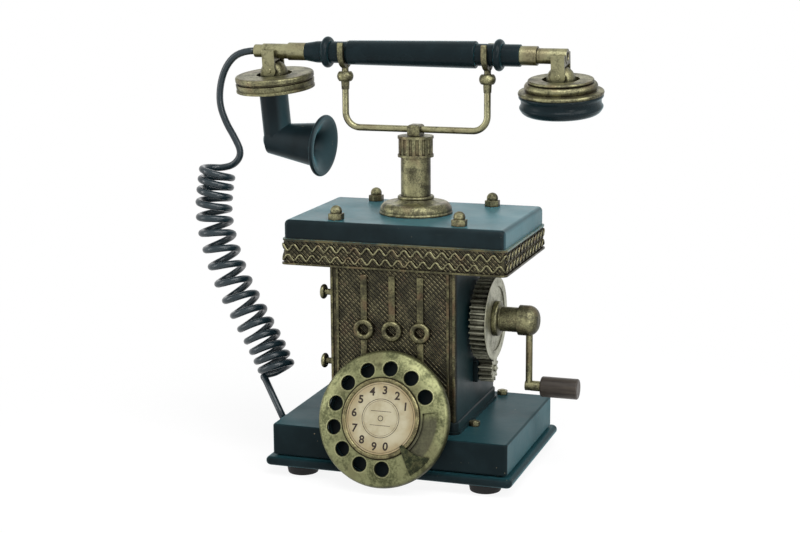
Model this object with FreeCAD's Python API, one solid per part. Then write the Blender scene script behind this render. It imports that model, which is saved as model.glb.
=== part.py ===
"""Antique desk telephone with hand crank, finger dial, cradle and handset.

Millimetres. X points to the crank side, Y to the back, Z up. The origin lies on the
table under the axis of the cradle column.
"""
import FreeCAD
import Part
import math
import os

V = FreeCAD.Vector
os.makedirs("parts", exist_ok=True)

# Fits
RUN = 0.05            # radial clearance of a shaft in its bore
SEAT = 0.3            # clearance of a piece laid on another body
NEAR = 0.2            # clearance of a plate set into a casing

# Base plinth
FOOT_H = 6.0
FOOT_R = 9.8
FOOT_TAPER = 1.0
FOOT_INSET_X = 15.0   # from the plinth's side to a foot's axis
FOOT_INSET_Y = 10.2   # from the plinth's front or back to a foot's axis
FOOT_SCREW_R = 1.8
FOOT_SCREW_HEAD_R = 3.6
FLANGE_OUT_X = 3.6
FLANGE_OUT_Y = 4.0
FLANGE_CORNER = 3.5
FLANGE_H = 5.2
COVE_H = 1.0
COVE_DEPTH = 1.6
BASE_HX = 70.4
BASE_HY = 53.2
BASE_CY = -2.6        # the plinth stands further out to the front
BASE_TOP = 30.3
BASE_CORNER = 2.2
BASE_EDGE = 1.2
BASE_WALL = 2.4
BOTTOM_PLATE_T = 1.5
WIRE_HOLE_R = 5.0
WIRE_HOLE_Y = 27.0
BASE_NUT_AF = 5.8
BASE_NUT_H = 2.6
BASE_NUT_PLACES = ((42.8, -24.0), (41.0, 44.5))
BASE_STUD_R = 1.7
BASE_STUD_RISE = 0.5

# Upright body
BODY_HX = 37.7
BODY_FRONT = -44.2
BODY_BACK = 37.4
BODY_TOP = 123.2
BODY_WALL = 2.0
BODY_CORNER = 2.5
SKIRT_OUT = 2.0
SKIRT_H = 7.0
SKIRT_FOOT_H = 1.6
PANEL_T = 1.3
STRIP_W = 1.5
STRIP_PROUD = 0.9
STRIP_XS = (32.9, 36.4)
BAR_X = 16.8
BAR_W = 4.1
BAR_PROUD = 1.6
BAR_TOP = 120.0
SIDE_BAR_BOTTOM = 64.0
RING_Z = 88.2
RING_R = 6.2
RING_HOLE_R = 2.8
RING_PROUD = 2.0
THUMB_Y = -39.0
THUMB_ZS = (66.4, 107.3)
THUMB_HEAD_R = 4.3
THUMB_STEM_R = 1.8
THUMB_REACH = 7.3
THUMB_HEAD_T = 3.0

# Lid
LID_HX = 65.8
LID_HY = 45.0
LID_CORNER = 2.2
LID_BAND_TOP = BODY_TOP + 13.8
LID_WALL = 1.8
LIP_H = 1.2
LIP_PROUD = 1.3
SLAB_HX = LID_HX - 0.2
SLAB_HY = LID_HY - 0.4
SLAB_CORNER = 3.0
SLAB_TOP = LID_BAND_TOP + 12.0
SLAB_EDGE = 2.8
SLAB_ROOF = 2.4
SLAB_LIP_H = 1.2
SLAB_LIP_PROUD = 1.2
WAVE_PITCH = 7.4
WAVE_SWING = 1.7
WAVE_BAND = 1.1
WAVE_T = 1.2
WAVE_ZS = (BODY_TOP + 4.3, BODY_TOP + 10.2)
NUT_X = 36.7
NUT_Y = 34.8
NUT_AF = 8.2
NUT_HEX_H = 3.6
NUT_BALL_R = 3.4
NUT_H = 8.2
STUD_R = 2.4

# Column
COLUMN_BASE_R = 21.4
NECK_R = 10.2
NECK_Z = SLAB_TOP + 10.4
TUBE_R = 8.7
TUBE_BORE_R = 6.0
COLLAR_Z0 = 182.1
COLLAR_Z1 = 194.3
COLLAR_RIM_R = 10.5
COLLAR_RIM_H = 1.5
FLUTES = 16
FLUTE_R = 0.95
PLUNGER_R = 2.5
PLUNGER_END = 131.0

# Cradle
ROD_R = 1.95
ROD_Z = 198.0
ROD_BEND_R = 8.7
ROD_X = 43.0
ROD_TOP = 226.0
SADDLE_X = 3.7
SADDLE_Y = 4.8
SADDLE_TOP = 200.8
BALL_Z = 227.7
BALL_R = 4.8
BALL_HALF_H = 2.8
BALL_EDGE = 1.2
CONE_R = 2.5
CONE_LEN = 4.8
FORK_W = 3.2
FORK_T = 2.4
FORK_TIP_Z = 247.6

# Handset, all turned pieces lie on one axis along X
HAND_Z = 241.5
HANDSET_ROLL = 6.5    # degrees about X, how far both capsules hang to the back at rest
CORE_R = 3.4
CORE_X0 = -98.6
CORE_X1 = 88.0
SLEEVE_X0 = -40.7
SLEEVE_X1 = 36.6
SLEEVE_LEFT_R = 7.0
SLEEVE_RIGHT_R = 7.8
SLEEVE_EDGE = 0.8
NECK_HAND_R = 6.3
BEAD_XS = (-53.6, 49.9)
BEAD_R = 9.1
BEAD_W = 4.4
COLLAR_X0 = -67.0
COLLAR_CONE_X = -60.0
COLLAR_X1 = 62.4
LEFT_FERRULE_X = -78.0
LEFT_FERRULE_R = 5.2
RIGHT_FERRULE_X = 72.2
RIGHT_FERRULE_R = 5.5
END_TUBE_R = 4.4
END_TUBE_X = 89.4
GLAND_X = -99.5
GLAND_R = 3.3
GLAND_NECK_X = -94.2

# Capsule hinges
TRANS_X = -88.6
RECV_X = 85.2
HINGE_Z = HAND_Z - 10.5
KNUCKLE_R = 8.2
KNUCKLE_FLAT = 6.0
CHEEK_GAP = 0.25
CHEEK_T = 1.6
CHEEK_HW = 3.9
CHEEK_END_R = 4.2
BRIDGE_GAP = 0.3
BRIDGE_RISE = 1.6
PIN_R = 1.4
POCKET_R = 10.6
CUP_TOP = HINGE_Z - 2.9
POCKET_DEPTH = 2.2

# Transmitter (mouth) capsule
TRANS_R = 23.4
TRANS_H = 9.1
TRANS_GROOVE = 1.3
TRANS_TILT = -2.5     # rest tilt about Y, the cradle side up
CUP_WALL = 1.6
PIPE_R = 8.5
PIPE_BORE_R = 5.0
PIPE_X = TRANS_X - 1.7
ELBOW_DROP = 43.1     # hinge axis to the crossing of pipe and horn axes
HORN_DIP = 6.5        # horn axis below the capsule's own plane, degrees
HORN_YAW = 5.0        # horn axis turned to the front, degrees
HORN_ROOT_R = 9.6
HORN_WIDE_R = 13.3
HORN_LEN = 28.4
HORN_RIM_R = 18.4
HORN_RIM_T = 2.6
MOUTH_R = 16.4
MOUTH_DEPTH = 9.0
MOUTH_BORE_R = 4.4

# Receiver (ear) capsule
RECV_TOP_R = 18.2
RECV_TIER_R = 20.7
RECV_FLANGE_R = 24.3
RECV_FLANGE_T = 1.9
RECV_SHELL_H = 8.6
EAR_RIM_R = 24.0
EAR_WAIST_R = 23.0
EAR_LOWER_R = 23.7
EAR_H = 11.4
EAR_HOLE_R = 1.3

# Hand crank and gears
CRANK_Y = -3.4
CRANK_Z = 89.7
MODULE = 1.15
GEAR_TEETH = 40
PINION_TEETH = 12
GEAR_CLEAR = 2.2
GEAR_WIDTH = 9.9
GEAR_X0 = BODY_HX + GEAR_CLEAR
GEAR_X1 = GEAR_X0 + GEAR_WIDTH
GEAR_RIM = 2.6
GEAR_RECESS = 0.6
PINION_INSET_IN = 1.1
PINION_INSET_OUT = 0.8
PINION_X0 = GEAR_X0 + PINION_INSET_IN
PINION_X1 = GEAR_X1 - PINION_INSET_OUT
HUB_FLANGE_R = 10.2
HUB_FLANGE_OUT = 14.8
HUB_FLANGE_X = BODY_HX + HUB_FLANGE_OUT
HUB_R = 7.2
HUB_LEN = 11.4
HUB_X = HUB_FLANGE_X + HUB_LEN
ARM_FROM_BODY = 32.0
ARM_X = BODY_HX + ARM_FROM_BODY
CAP_R = 8.8
CAP_OVER_ARM = 5.6
CAP_X = ARM_X + CAP_OVER_ARM
SHAFT_R = 3.0
SHAFT_X0 = 29.0
BUSH_R = 5.5
BUSH_FLANGE_R = 8.0
BUSH_PROUD = 1.9
ARM_R = 2.0
ARM_DROP = 38.7
BOSS_R = 2.9
BOSS_HALF = 2.0
SPINDLE_R = 3.0
SPINDLE_OUT = 7.2
SPINDLE_X = ARM_X + SPINDLE_OUT
AXLE_R = 1.6
GRIP_R = 6.0
GRIP_CLEAR = 0.3
GRIP_LEN = 21.9
GRIP_X0 = SPINDLE_X + GRIP_CLEAR
GRIP_X1 = GRIP_X0 + GRIP_LEN
BEARING_HY = 7.0
BEARING_DOWN = 7.5
BEARING_UP = 4.5
BEARING_PROUD = 3.0
PINION_SHAFT_R = 2.0

# Magneto inside the body
ARMATURE_R = 8.0
ARMATURE_HX = 17.0
MAGNET_COUNT = 3
MAGNET_W = 10.0
MAGNET_GAP = 1.0
MAGNET_IN_R = 9.6
MAGNET_OUT_R = 15.5
MAGNET_BED_Z = 42.0
FRAME_HX = 20.0
FRAME_PLATE_T = 2.0
FRAME_HY = 16.5
FRAME_TOP = 68.0
SHAFT_END_X = -24.0

# Ringer and induction coil in the plinth, hook switch under the lid
GONG_X = 22.0
GONG_Y = 24.0
GONG_R = 17.0
GONG_H = 7.0
GONG_T = 1.2
GONG_TOP = 24.5
POST_R = 2.6
RINGER_COIL_X = 9.0
RINGER_COIL_Y = -8.0
RINGER_COIL_R = 6.0
RINGER_COIL_H = 9.0
YOKE_T = 2.0
HAMMER_PIVOT_Y = -1.0
HAMMER_Z = 21.0
HAMMER_ROD_R = 0.9
HAMMER_BALL_R = 2.4
HAMMER_PIN_R = 1.5
INDUCTION_X = -42.0
INDUCTION_Y = -12.0
INDUCTION_R = 6.5
INDUCTION_HALF = 17.0
CHEEK_PLATE_T = 2.0
SWITCH_Y = 12.0
LEAF_T = 0.5

# Dial: local frame with its z axis on the dial's axis, pointing at the user
DIAL_CENTRE = V(0, -65.6, 42.6)
DIAL_LEAN = 19.0
WHEEL_R = 38.9
WHEEL_EDGE_H = 2.6
WHEEL_DROP = 2.6      # dome height from the inner edge to the rim
WHEEL_T = 1.9
WHEEL_IN_R = 23.3
FINGER_HOLES = 10
FINGER_R = 4.3
FINGER_CIRCLE_R = 28.3
FIRST_FINGER = 29.4   # degrees, counter-clockwise from the crank side
FINGER_STEP = 27.5
POCKET_FROM = -52.0
POCKET_TO = 11.0
POCKET_IN_R = 24.6
POCKET_OUT_R = 33.2
POCKET_SINK = 0.8
CARD_R = 20.4
CARD_T = 0.7
BEZEL_R = 22.9
BEZEL_PROUD = 1.5
HOLDER_T = 1.0
POST_DIAL_R = 3.0
CASE_R = 33.0
CASE_WALL = 1.2
CASE_FLOOR_Z = -8.2
CASE_LIP_Z = -4.4
DRUM_R = 17.0
DRUM_Z = -12.6
SPIGOT_R = 4.0
STOP_TIP_R = 19.6
STOP_OUT_R = 36.2
STOP_TIP_FROM = -48.5
STOP_TIP_TO = -43.5
STOP_OUT_FROM = -56.0
STOP_OUT_TO = -33.0
STOP_T = 1.3
STOP_LIFT = 0.45      # stop above the wheel's dome

# Curly cord
CORD_R = 2.1
CURL_R = 9.2
CURLS = 16
CURL_START = 100.0    # degrees round the coil, 90 is the back
CURL_END = 130.0
CURL_BUNCH = 0.30     # how much closer the end curls lie than the middle ones
GROMMET_PROUD = 1.6
GROMMET_R = 3.2
GROMMET_RIM = 1.1
GROMMET_Z = 24.8
CORD_BASE_Y = -32.5

# Centre line of the coil, top to bottom
COIL_ROUTE = [
    (-123.3, -6.0, 171.0),
    (-125.0, -7.6, 158.5),
    (-125.4, -9.6, 142.0),
    (-119.6, -12.6, 122.5),
    (-110.8, -15.2, 102.5),
    (-98.8, -17.4, 83.5),
    (-87.0, -20.4, 66.0),
    (-80.2, -22.0, 52.5),
]

# Lead from the handset gland to the first curl
LEAD_ROUTE = [
    (GLAND_X, 0.0, HAND_Z),
    (-109.5, 0.2, 241.1),
    (-118.6, 0.5, 233.2),
    (-123.4, 0.9, 221.5),
    (-124.4, 1.2, 208.6),
    (-120.2, 1.6, 197.2),
    (-115.6, 2.0, 189.6),
]

# Bend between the lead and the first curl, a place and a heading
LEAD_ELBOW = (-111.3, 2.6, 179.4)
LEAD_ELBOW_HEADING = (-0.42, 0.02, -0.91)

# Straight tail from under the last curl to the grommet in the plinth's side
TAIL_START = (-89.0, -21.0, 46.6)
TAIL_END = (-BASE_HX - GROMMET_PROUD, CORD_BASE_Y, GROMMET_Z)


def node(name, shape):
    """Write one sub-part and say how big it is."""
    shape.exportStep("parts/" + name + ".step")
    print(name, len(shape.Solids), "solid(s)", round(shape.Volume, 1), "mm3",
          "" if shape.isValid() else "INVALID")
    return shape


def group(shapes):
    """Separate solids kept in one node."""
    return Part.makeCompound(shapes)


def box(x0, x1, y0, y1, z0, z1):
    return Part.makeBox(x1 - x0, y1 - y0, z1 - z0, V(x0, y0, z0))


def outline(corners):
    """Closed wire through (a, b) corners; an item ((a, b), (a, b)) is an arc: via, end."""
    edges = []
    start = V(corners[0][0], 0, corners[0][1])
    here = start
    for item in list(corners[1:]) + [corners[0]]:
        if isinstance(item[0], tuple):
            via = V(item[0][0], 0, item[0][1])
            there = V(item[1][0], 0, item[1][1])
            edges.append(Part.Arc(here, via, there).toShape())
        else:
            there = V(item[0], 0, item[1])
            if (there - here).Length < 1e-6:
                continue
            edges.append(Part.LineSegment(here, there).toShape())
        here = there
    return Part.Wire(edges)


def turned(corners):
    """Solid of revolution about Z from an outline of (radius, height) corners."""
    return Part.Face(outline(corners)).revolve(V(0, 0, 0), V(0, 0, 1), 360)


def on_x(shape, x, y, z):
    """Lay a piece turned about Z along +X, its seam to the back, its zero at the point given."""
    placed = shape.copy()
    placed.Placement = FreeCAD.Placement(V(x, y, z), FreeCAD.Rotation(V(1, 1, 1), 120))
    return placed


def rod_x(radius, x0, x1, y, z):
    return Part.makeCylinder(radius, x1 - x0, V(x0, y, z), V(1, 0, 0))


def rod_z(radius, z0, z1, x, y):
    return Part.makeCylinder(radius, z1 - z0, V(x, y, z0))


def rounded_rect(hx, hy, corner, z, cy=0.0):
    """Wire of a rectangle with round corners about (0, cy) at height z."""
    edges = []
    k = corner * (1 - math.sqrt(0.5))
    quarters = [(1, 1), (-1, 1), (-1, -1), (1, -1)]
    marks = []
    for i, (sx, sy) in enumerate(quarters):
        along = V(sx * hx, cy + sy * (hy - corner), z)
        across = V(sx * (hx - corner), cy + sy * hy, z)
        via = V(sx * (hx - k), cy + sy * (hy - k), z)
        first, last = (along, across) if i % 2 == 0 else (across, along)
        marks.append((first, via, last))
    for i, (first, via, last) in enumerate(marks):
        edges.append(Part.Arc(first, via, last).toShape())
        following = marks[(i + 1) % 4][0]
        edges.append(Part.LineSegment(last, following).toShape())
    return Part.Wire(edges)


def rounded_block(hx, hy, corner, z0, z1, cy=0.0):
    face = Part.Face(rounded_rect(hx, hy, corner, z0, cy))
    return face.extrude(V(0, 0, z1 - z0))


def soften(shape, z, radius):
    """Round the edges that lie flat at one height."""
    edges = [e for e in shape.Edges
             if abs(e.BoundBox.ZMin - z) < 1e-4 and abs(e.BoundBox.ZMax - z) < 1e-4]
    return shape.makeFillet(radius, edges)


def hexagon(across_flats, z0, z1, x, y):
    """Hexagonal prism with two flats facing along X."""
    radius = across_flats / math.sqrt(3)
    corners = [V(x + radius * math.cos(math.radians(60 * i + 30)),
                 y + radius * math.sin(math.radians(60 * i + 30)), z0) for i in range(7)]
    return Part.Face(Part.makePolygon(corners)).extrude(V(0, 0, z1 - z0))


def tube(edges, radius):
    """Round tube along a path of tangent edges."""
    path = Part.Wire(edges)
    first = edges[0]
    start = first.valueAt(first.FirstParameter)
    direction = first.tangentAt(first.FirstParameter)
    section = Part.Wire(Part.makeCircle(radius, start, direction))
    return path.makePipeShell([section], True, False)


def route_edges(points, share=0.45):
    """Straight runs joined by arcs as large as their two runs allow, and the radii."""
    points = [V(*p) for p in points]
    edges = []
    radii = []
    here = points[0]
    for before, corner, after in zip(points, points[1:], points[2:]):
        into = (corner - before).normalize()
        out = (after - corner).normalize()
        half = into.getAngle(out) / 2
        cut = share * min((corner - before).Length, (after - corner).Length)
        radius = cut / math.tan(half)
        first = corner - into * cut
        last = corner + out * cut
        inward = (out - into).normalize()
        via = corner + inward * (radius / math.cos(half) - radius)
        edges.append(Part.LineSegment(here, first).toShape())
        edges.append(Part.Arc(first, via, last).toShape())
        radii.append(radius)
        here = last
    edges.append(Part.LineSegment(here, points[-1]).toShape())
    return edges, radii


def arc_from(start, heading, end):
    """Arc that leaves start along heading and ends at end."""
    chord = end - start
    along = chord.normalize()
    length = (end - start).Length
    angle = heading.getAngle(along)
    if angle < 1e-5:
        return Part.LineSegment(start, end).toShape()
    side = (heading - along * heading.dot(along)).normalize()
    via = (start + end) * 0.5 + side * (length / 2 * math.tan(angle / 2))
    return Part.Arc(start, via, end).toShape()


def biarc(p0, t0, p1, t1):
    """Two tangent arcs from one point and heading to the next."""
    v = p1 - p0
    t = t0 + t1
    bend = 2 * (1 - t0.dot(t1))
    if bend < 1e-9:
        reach = v.dot(v) / (4 * v.dot(t1))
    else:
        reach = (-v.dot(t) + math.sqrt(v.dot(t) ** 2 + bend * v.dot(v))) / bend
    middle = (p0 + t0 * reach + p1 - t1 * reach) * 0.5
    first = arc_from(p0, t0, middle)
    heading = first.tangentAt(first.LastParameter)
    return [first, arc_from(middle, heading, p1)]


def cluster(count, step):
    """Places of a row of like pieces centred on zero."""
    return [(i - (count - 1) / 2) * step for i in range(count)]


# Base plinth
def base_casing():
    flange = rounded_block(BASE_HX + FLANGE_OUT_X, BASE_HY + FLANGE_OUT_Y, FLANGE_CORNER,
                           FOOT_H, FOOT_H + FLANGE_H, BASE_CY)
    round_r = FLANGE_H / 2 - 0.05
    flange = soften(soften(flange, FOOT_H, round_r), FOOT_H + FLANGE_H, round_r)
    cove_top = FOOT_H + FLANGE_H + COVE_H
    cove = rounded_block(BASE_HX - COVE_DEPTH, BASE_HY - COVE_DEPTH, BASE_CORNER,
                         FOOT_H + FLANGE_H - 0.5, cove_top, BASE_CY)
    wall = rounded_block(BASE_HX, BASE_HY, BASE_CORNER, cove_top, BASE_TOP, BASE_CY)
    wall = soften(soften(wall, BASE_TOP, BASE_EDGE), cove_top, BASE_EDGE / 2)
    inner = BASE_WALL + COVE_DEPTH
    hollow = rounded_block(BASE_HX - inner, BASE_HY - inner, BASE_CORNER,
                           FOOT_H - 1, BASE_TOP - BASE_WALL, BASE_CY)
    casing = flange.fuse([cove, wall]).cut(hollow)
    casing = casing.cut(rod_z(WIRE_HOLE_R, BASE_TOP - 2 * BASE_WALL, BASE_TOP + 1, 0, WIRE_HOLE_Y))
    bore = Part.makeCylinder(GROMMET_R + NEAR, 2 * inner, V(-BASE_HX - inner, CORD_BASE_Y, GROMMET_Z),
                             V(1, 0, 0))
    return casing.cut(bore)


def bottom_plate():
    inner = BASE_WALL + COVE_DEPTH + NEAR
    plate = rounded_block(BASE_HX - inner, BASE_HY - inner, BASE_CORNER,
                          FOOT_H, FOOT_H + BOTTOM_PLATE_T, BASE_CY)
    return plate.cut([rod_z(FOOT_SCREW_R + NEAR, 0, BASE_TOP, x, y) for x, y in foot_places()])


def foot_places():
    x = BASE_HX - FOOT_INSET_X
    y = BASE_HY - FOOT_INSET_Y
    return [(sx * x, BASE_CY + sy * y) for sx in (-1, 1) for sy in (-1, 1)]


def rubber_foot(x, y):
    foot = Part.makeCone(FOOT_R - FOOT_TAPER, FOOT_R, FOOT_H, V(x, y, 0))
    foot = foot.cut(rod_z(FOOT_SCREW_R + NEAR, -1, FOOT_H + 1, x, y))
    return foot.cut(rod_z(FOOT_SCREW_HEAD_R + NEAR, -1, FOOT_H / 2, x, y))


def foot_screw(x, y):
    head = rod_z(FOOT_SCREW_HEAD_R, FOOT_H / 2 - 1.6, FOOT_H / 2, x, y)
    return head.fuse(rod_z(FOOT_SCREW_R, FOOT_H / 2, FOOT_H + 4, x, y))


def base_nut(x, y):
    nut = hexagon(BASE_NUT_AF, BASE_TOP, BASE_TOP + BASE_NUT_H, x, y)
    stud = rod_z(BASE_STUD_R, BASE_TOP, BASE_TOP + BASE_NUT_H + BASE_STUD_RISE, x, y)
    return nut.fuse(stud)


# Upright body
BODY_CY = (BODY_FRONT + BODY_BACK) / 2
BODY_HY = (BODY_BACK - BODY_FRONT) / 2
PINION_Z = CRANK_Z - MODULE * (GEAR_TEETH + PINION_TEETH) / 2


def skirt():
    """Moulding round the foot of the upright body, solid across."""
    foot = rounded_block(BODY_HX + SKIRT_OUT, BODY_HY + SKIRT_OUT, BODY_CORNER + SKIRT_OUT,
                         BASE_TOP, BASE_TOP + SKIRT_FOOT_H, BODY_CY)
    step = rounded_block(BODY_HX + SKIRT_OUT / 2, BODY_HY + SKIRT_OUT / 2, BODY_CORNER + SKIRT_OUT / 2,
                         BASE_TOP, BASE_TOP + SKIRT_H, BODY_CY)
    return soften(step, BASE_TOP + SKIRT_H, SKIRT_OUT / 2 - 0.05).fuse(foot)


def body_case():
    shell = rounded_block(BODY_HX, BODY_HY, BODY_CORNER, BASE_TOP, BODY_TOP, BODY_CY)
    shell = shell.cut(box(-STRIP_XS[1] - 1, STRIP_XS[1] + 1, BODY_FRONT - 1, BODY_FRONT + PANEL_T,
                          BASE_TOP + SKIRT_H, BODY_TOP + 1))
    hollow = rounded_block(BODY_HX - BODY_WALL, BODY_HY - BODY_WALL - PANEL_T, BODY_CORNER / 2,
                           BASE_TOP - 1, BODY_TOP + 1, BODY_CY)
    shell = shell.fuse(skirt()).cut(hollow)
    shell = shell.cut(rod_x(BUSH_R, 0, 2 * BODY_HX, CRANK_Y, CRANK_Z))
    return shell.cut(rod_x(PINION_SHAFT_R + 1, 0, 2 * BODY_HX, CRANK_Y, PINION_Z))


def front_panel():
    return box(-STRIP_XS[1] - 1, STRIP_XS[1] + 1, BODY_FRONT, BODY_FRONT + PANEL_T,
               BASE_TOP + SKIRT_H, BODY_TOP)


def side_strip(x):
    return box(x - STRIP_W / 2, x + STRIP_W / 2, BODY_FRONT - STRIP_PROUD, BODY_FRONT,
               BASE_TOP + SKIRT_H, BODY_TOP)


def ring_bar(x, bottom):
    front = BODY_FRONT - BAR_PROUD
    bar = box(x - BAR_W / 2, x + BAR_W / 2, front, BODY_FRONT, bottom, BAR_TOP)
    edges = [e for e in bar.Edges if abs(e.BoundBox.YMax - front) < 1e-4]
    bar = bar.makeFillet(BAR_W / 5, edges)
    half = RING_PROUD / 2 + BAR_PROUD / 2
    middle_r = (RING_R + RING_HOLE_R) / 2
    ring = turned([(RING_HOLE_R, 0), (RING_R, 0), (RING_R, half),
                   ((middle_r, 2 * half), (RING_HOLE_R, half))])
    ring.Placement = FreeCAD.Placement(V(x, BODY_FRONT, RING_Z), FreeCAD.Rotation(V(1, 0, 0), 90))
    hole = Part.makeCylinder(RING_HOLE_R, 20, V(x, BODY_FRONT + 1, RING_Z), V(0, -1, 0))
    return bar.cut(hole).fuse(ring)


def thumb_screw(z):
    reach = THUMB_REACH
    crown = reach - THUMB_HEAD_T
    screw = turned([(0, 0), (THUMB_STEM_R, 0), (THUMB_STEM_R, crown), (THUMB_HEAD_R * 0.7, crown),
                    ((THUMB_HEAD_R, crown + THUMB_HEAD_T * 0.5), (THUMB_HEAD_R * 0.75, reach - 0.4)),
                    (0, reach)])
    screw.Placement = FreeCAD.Placement(V(-BODY_HX, THUMB_Y, z), FreeCAD.Rotation(V(0, 1, 0), -90))
    return screw


# Lid
def lid_frame():
    block = rounded_block(LID_HX, LID_HY, LID_CORNER, BODY_TOP, LID_BAND_TOP)
    hollow = rounded_block(LID_HX - LID_WALL, LID_HY - LID_WALL, LID_CORNER - 1,
                           BODY_TOP + LID_WALL, LID_BAND_TOP + 1)
    block = block.cut(hollow)
    return block.cut([rod_z(STUD_R, BODY_TOP + 0.4, LID_BAND_TOP, sx * NUT_X, sy * NUT_Y)
                      for sx in (-1, 1) for sy in (-1, 1)])


def lid_lip():
    outer = rounded_block(LID_HX + LIP_PROUD, LID_HY + LIP_PROUD, LID_CORNER + LIP_PROUD,
                          BODY_TOP, BODY_TOP + LIP_H)
    return outer.cut(rounded_block(LID_HX, LID_HY, LID_CORNER, BODY_TOP - 1, BODY_TOP + LIP_H + 1))


def wave_ribbon(half_length, z, shift):
    """Flat face of one run of waves about the origin, in the XZ plane."""
    count = int(round(2 * half_length / WAVE_PITCH))
    pitch = 2 * half_length / count
    line = []
    for i in range(count):
        start = -half_length + i * pitch
        for part, sign in ((0.12, 1), (0.38, 1), (0.62, -1), (0.88, -1)):
            line.append((start + part * pitch, shift * sign * WAVE_SWING))
    upper = [V(x, 0, z + dz + WAVE_BAND / 2) for x, dz in line]
    lower = [V(x, 0, z + dz - WAVE_BAND / 2) for x, dz in reversed(line)]
    return Part.Face(Part.makePolygon(upper + lower + upper[:1]))


def wave_wires():
    runs = []
    for row, z in enumerate(WAVE_ZS):
        shift = 1 if row == 0 else -1
        long_run = wave_ribbon(LID_HX - 1, z, shift).extrude(V(0, -WAVE_T, 0))
        short_run = wave_ribbon(LID_HY - 1, z, shift).extrude(V(0, -WAVE_T, 0))
        for turn, run, reach in ((0, long_run, LID_HY), (90, short_run, LID_HX),
                                 (180, long_run, LID_HY), (270, short_run, LID_HX)):
            piece = run.copy()
            piece.translate(V(0, -reach, 0))
            piece.rotate(V(0, 0, 0), V(0, 0, 1), turn)
            runs.append(piece)
    return group(runs)


def lid_top():
    slab = rounded_block(SLAB_HX, SLAB_HY, SLAB_CORNER, LID_BAND_TOP, SLAB_TOP)
    slab = soften(slab, SLAB_TOP, SLAB_EDGE)
    lip = rounded_block(SLAB_HX + SLAB_LIP_PROUD, SLAB_HY + SLAB_LIP_PROUD, SLAB_CORNER + SLAB_LIP_PROUD,
                        LID_BAND_TOP, LID_BAND_TOP + SLAB_LIP_H)
    hollow = rounded_block(SLAB_HX - LID_WALL - 1, SLAB_HY - LID_WALL - 1, SLAB_CORNER - 1,
                           LID_BAND_TOP - 1, SLAB_TOP - SLAB_ROOF)
    slab = slab.fuse(lip).cut(hollow)
    slab = slab.cut(rod_z(TUBE_BORE_R, LID_BAND_TOP, SLAB_TOP + 1, 0, 0))
    return slab.cut([rod_z(STUD_R, LID_BAND_TOP, SLAB_TOP + 1, sx * NUT_X, sy * NUT_Y)
                     for sx in (-1, 1) for sy in (-1, 1)])


def acorn_nut(x, y):
    hexa = hexagon(NUT_AF, SLAB_TOP, SLAB_TOP + NUT_HEX_H, x, y)
    dome = Part.makeSphere(NUT_BALL_R, V(x, y, SLAB_TOP + NUT_H - NUT_BALL_R))
    stud = rod_z(STUD_R, BODY_TOP + 0.4, SLAB_TOP, x, y)
    return hexa.fuse([dome, stud])


# Column
def column_base():
    z = SLAB_TOP
    r = COLUMN_BASE_R
    neck = NECK_R
    return turned([(TUBE_BORE_R, z), (r, z), (r, z + 1.0), (r - 0.4, z + 1.6),
                   ((r - 0.9, z + 4.2), (r - 2.9, z + 6.3)), (r - 4.0, z + 6.6), (r - 5.9, z + 6.4),
                   ((neck + 2.3, z + 6.9), (neck, z + 8.4)), ((neck + 0.5, z + 9.4), (neck - 0.2, NECK_Z)),
                   (TUBE_BORE_R, NECK_Z)])


def column_tube():
    return rod_z(TUBE_R, NECK_Z, COLLAR_Z0, 0, 0).cut(rod_z(TUBE_BORE_R, NECK_Z - 1, COLLAR_Z0 + 1, 0, 0))


def fluted_collar():
    bore_r = PLUNGER_R + RUN
    rim = COLLAR_RIM_R
    low = COLLAR_Z0 + COLLAR_RIM_H
    high = COLLAR_Z1 - COLLAR_RIM_H
    body_r = rim - 0.5
    collar = turned([(bore_r, COLLAR_Z0), (rim, COLLAR_Z0), (rim, low), (body_r, low), (body_r, high),
                     (rim, high), (rim, COLLAR_Z1), (bore_r, COLLAR_Z1)])
    flutes = []
    for i in range(FLUTES):
        angle = math.radians(360 / FLUTES * i)
        flutes.append(rod_z(FLUTE_R, low, high, body_r * math.cos(angle), body_r * math.sin(angle)))
    return collar.cut(flutes)


# Cradle
def cradle_rod():
    bend = ROD_BEND_R
    k = bend * (1 - math.sqrt(0.5))
    edges = []
    left_top = V(-ROD_X, 0, ROD_TOP)
    left_low = V(-ROD_X, 0, ROD_Z + bend)
    left_in = V(-ROD_X + bend, 0, ROD_Z)
    right_in = V(ROD_X - bend, 0, ROD_Z)
    right_low = V(ROD_X, 0, ROD_Z + bend)
    right_top = V(ROD_X, 0, ROD_TOP)
    edges.append(Part.LineSegment(left_top, left_low).toShape())
    edges.append(Part.Arc(left_low, V(-ROD_X + k, 0, ROD_Z + k), left_in).toShape())
    edges.append(Part.LineSegment(left_in, right_in).toShape())
    edges.append(Part.Arc(right_in, V(ROD_X - k, 0, ROD_Z + k), right_low).toShape())
    edges.append(Part.LineSegment(right_low, right_top).toShape())
    return tube(edges, ROD_R)


def saddle_block():
    block = box(-SADDLE_X, SADDLE_X, -SADDLE_Y, SADDLE_Y, COLLAR_Z1 + SEAT, SADDLE_TOP)
    edges = [e for e in block.Edges if abs(e.BoundBox.ZMin - SADDLE_TOP) < 1e-4]
    block = block.makeChamfer(0.9, edges)
    plunger = rod_z(PLUNGER_R, PLUNGER_END, COLLAR_Z1 + SEAT, 0, 0)
    block = block.fuse(plunger)
    return block.cut(rod_x(ROD_R, -2 * SADDLE_X, 2 * SADDLE_X, 0, ROD_Z))


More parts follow.
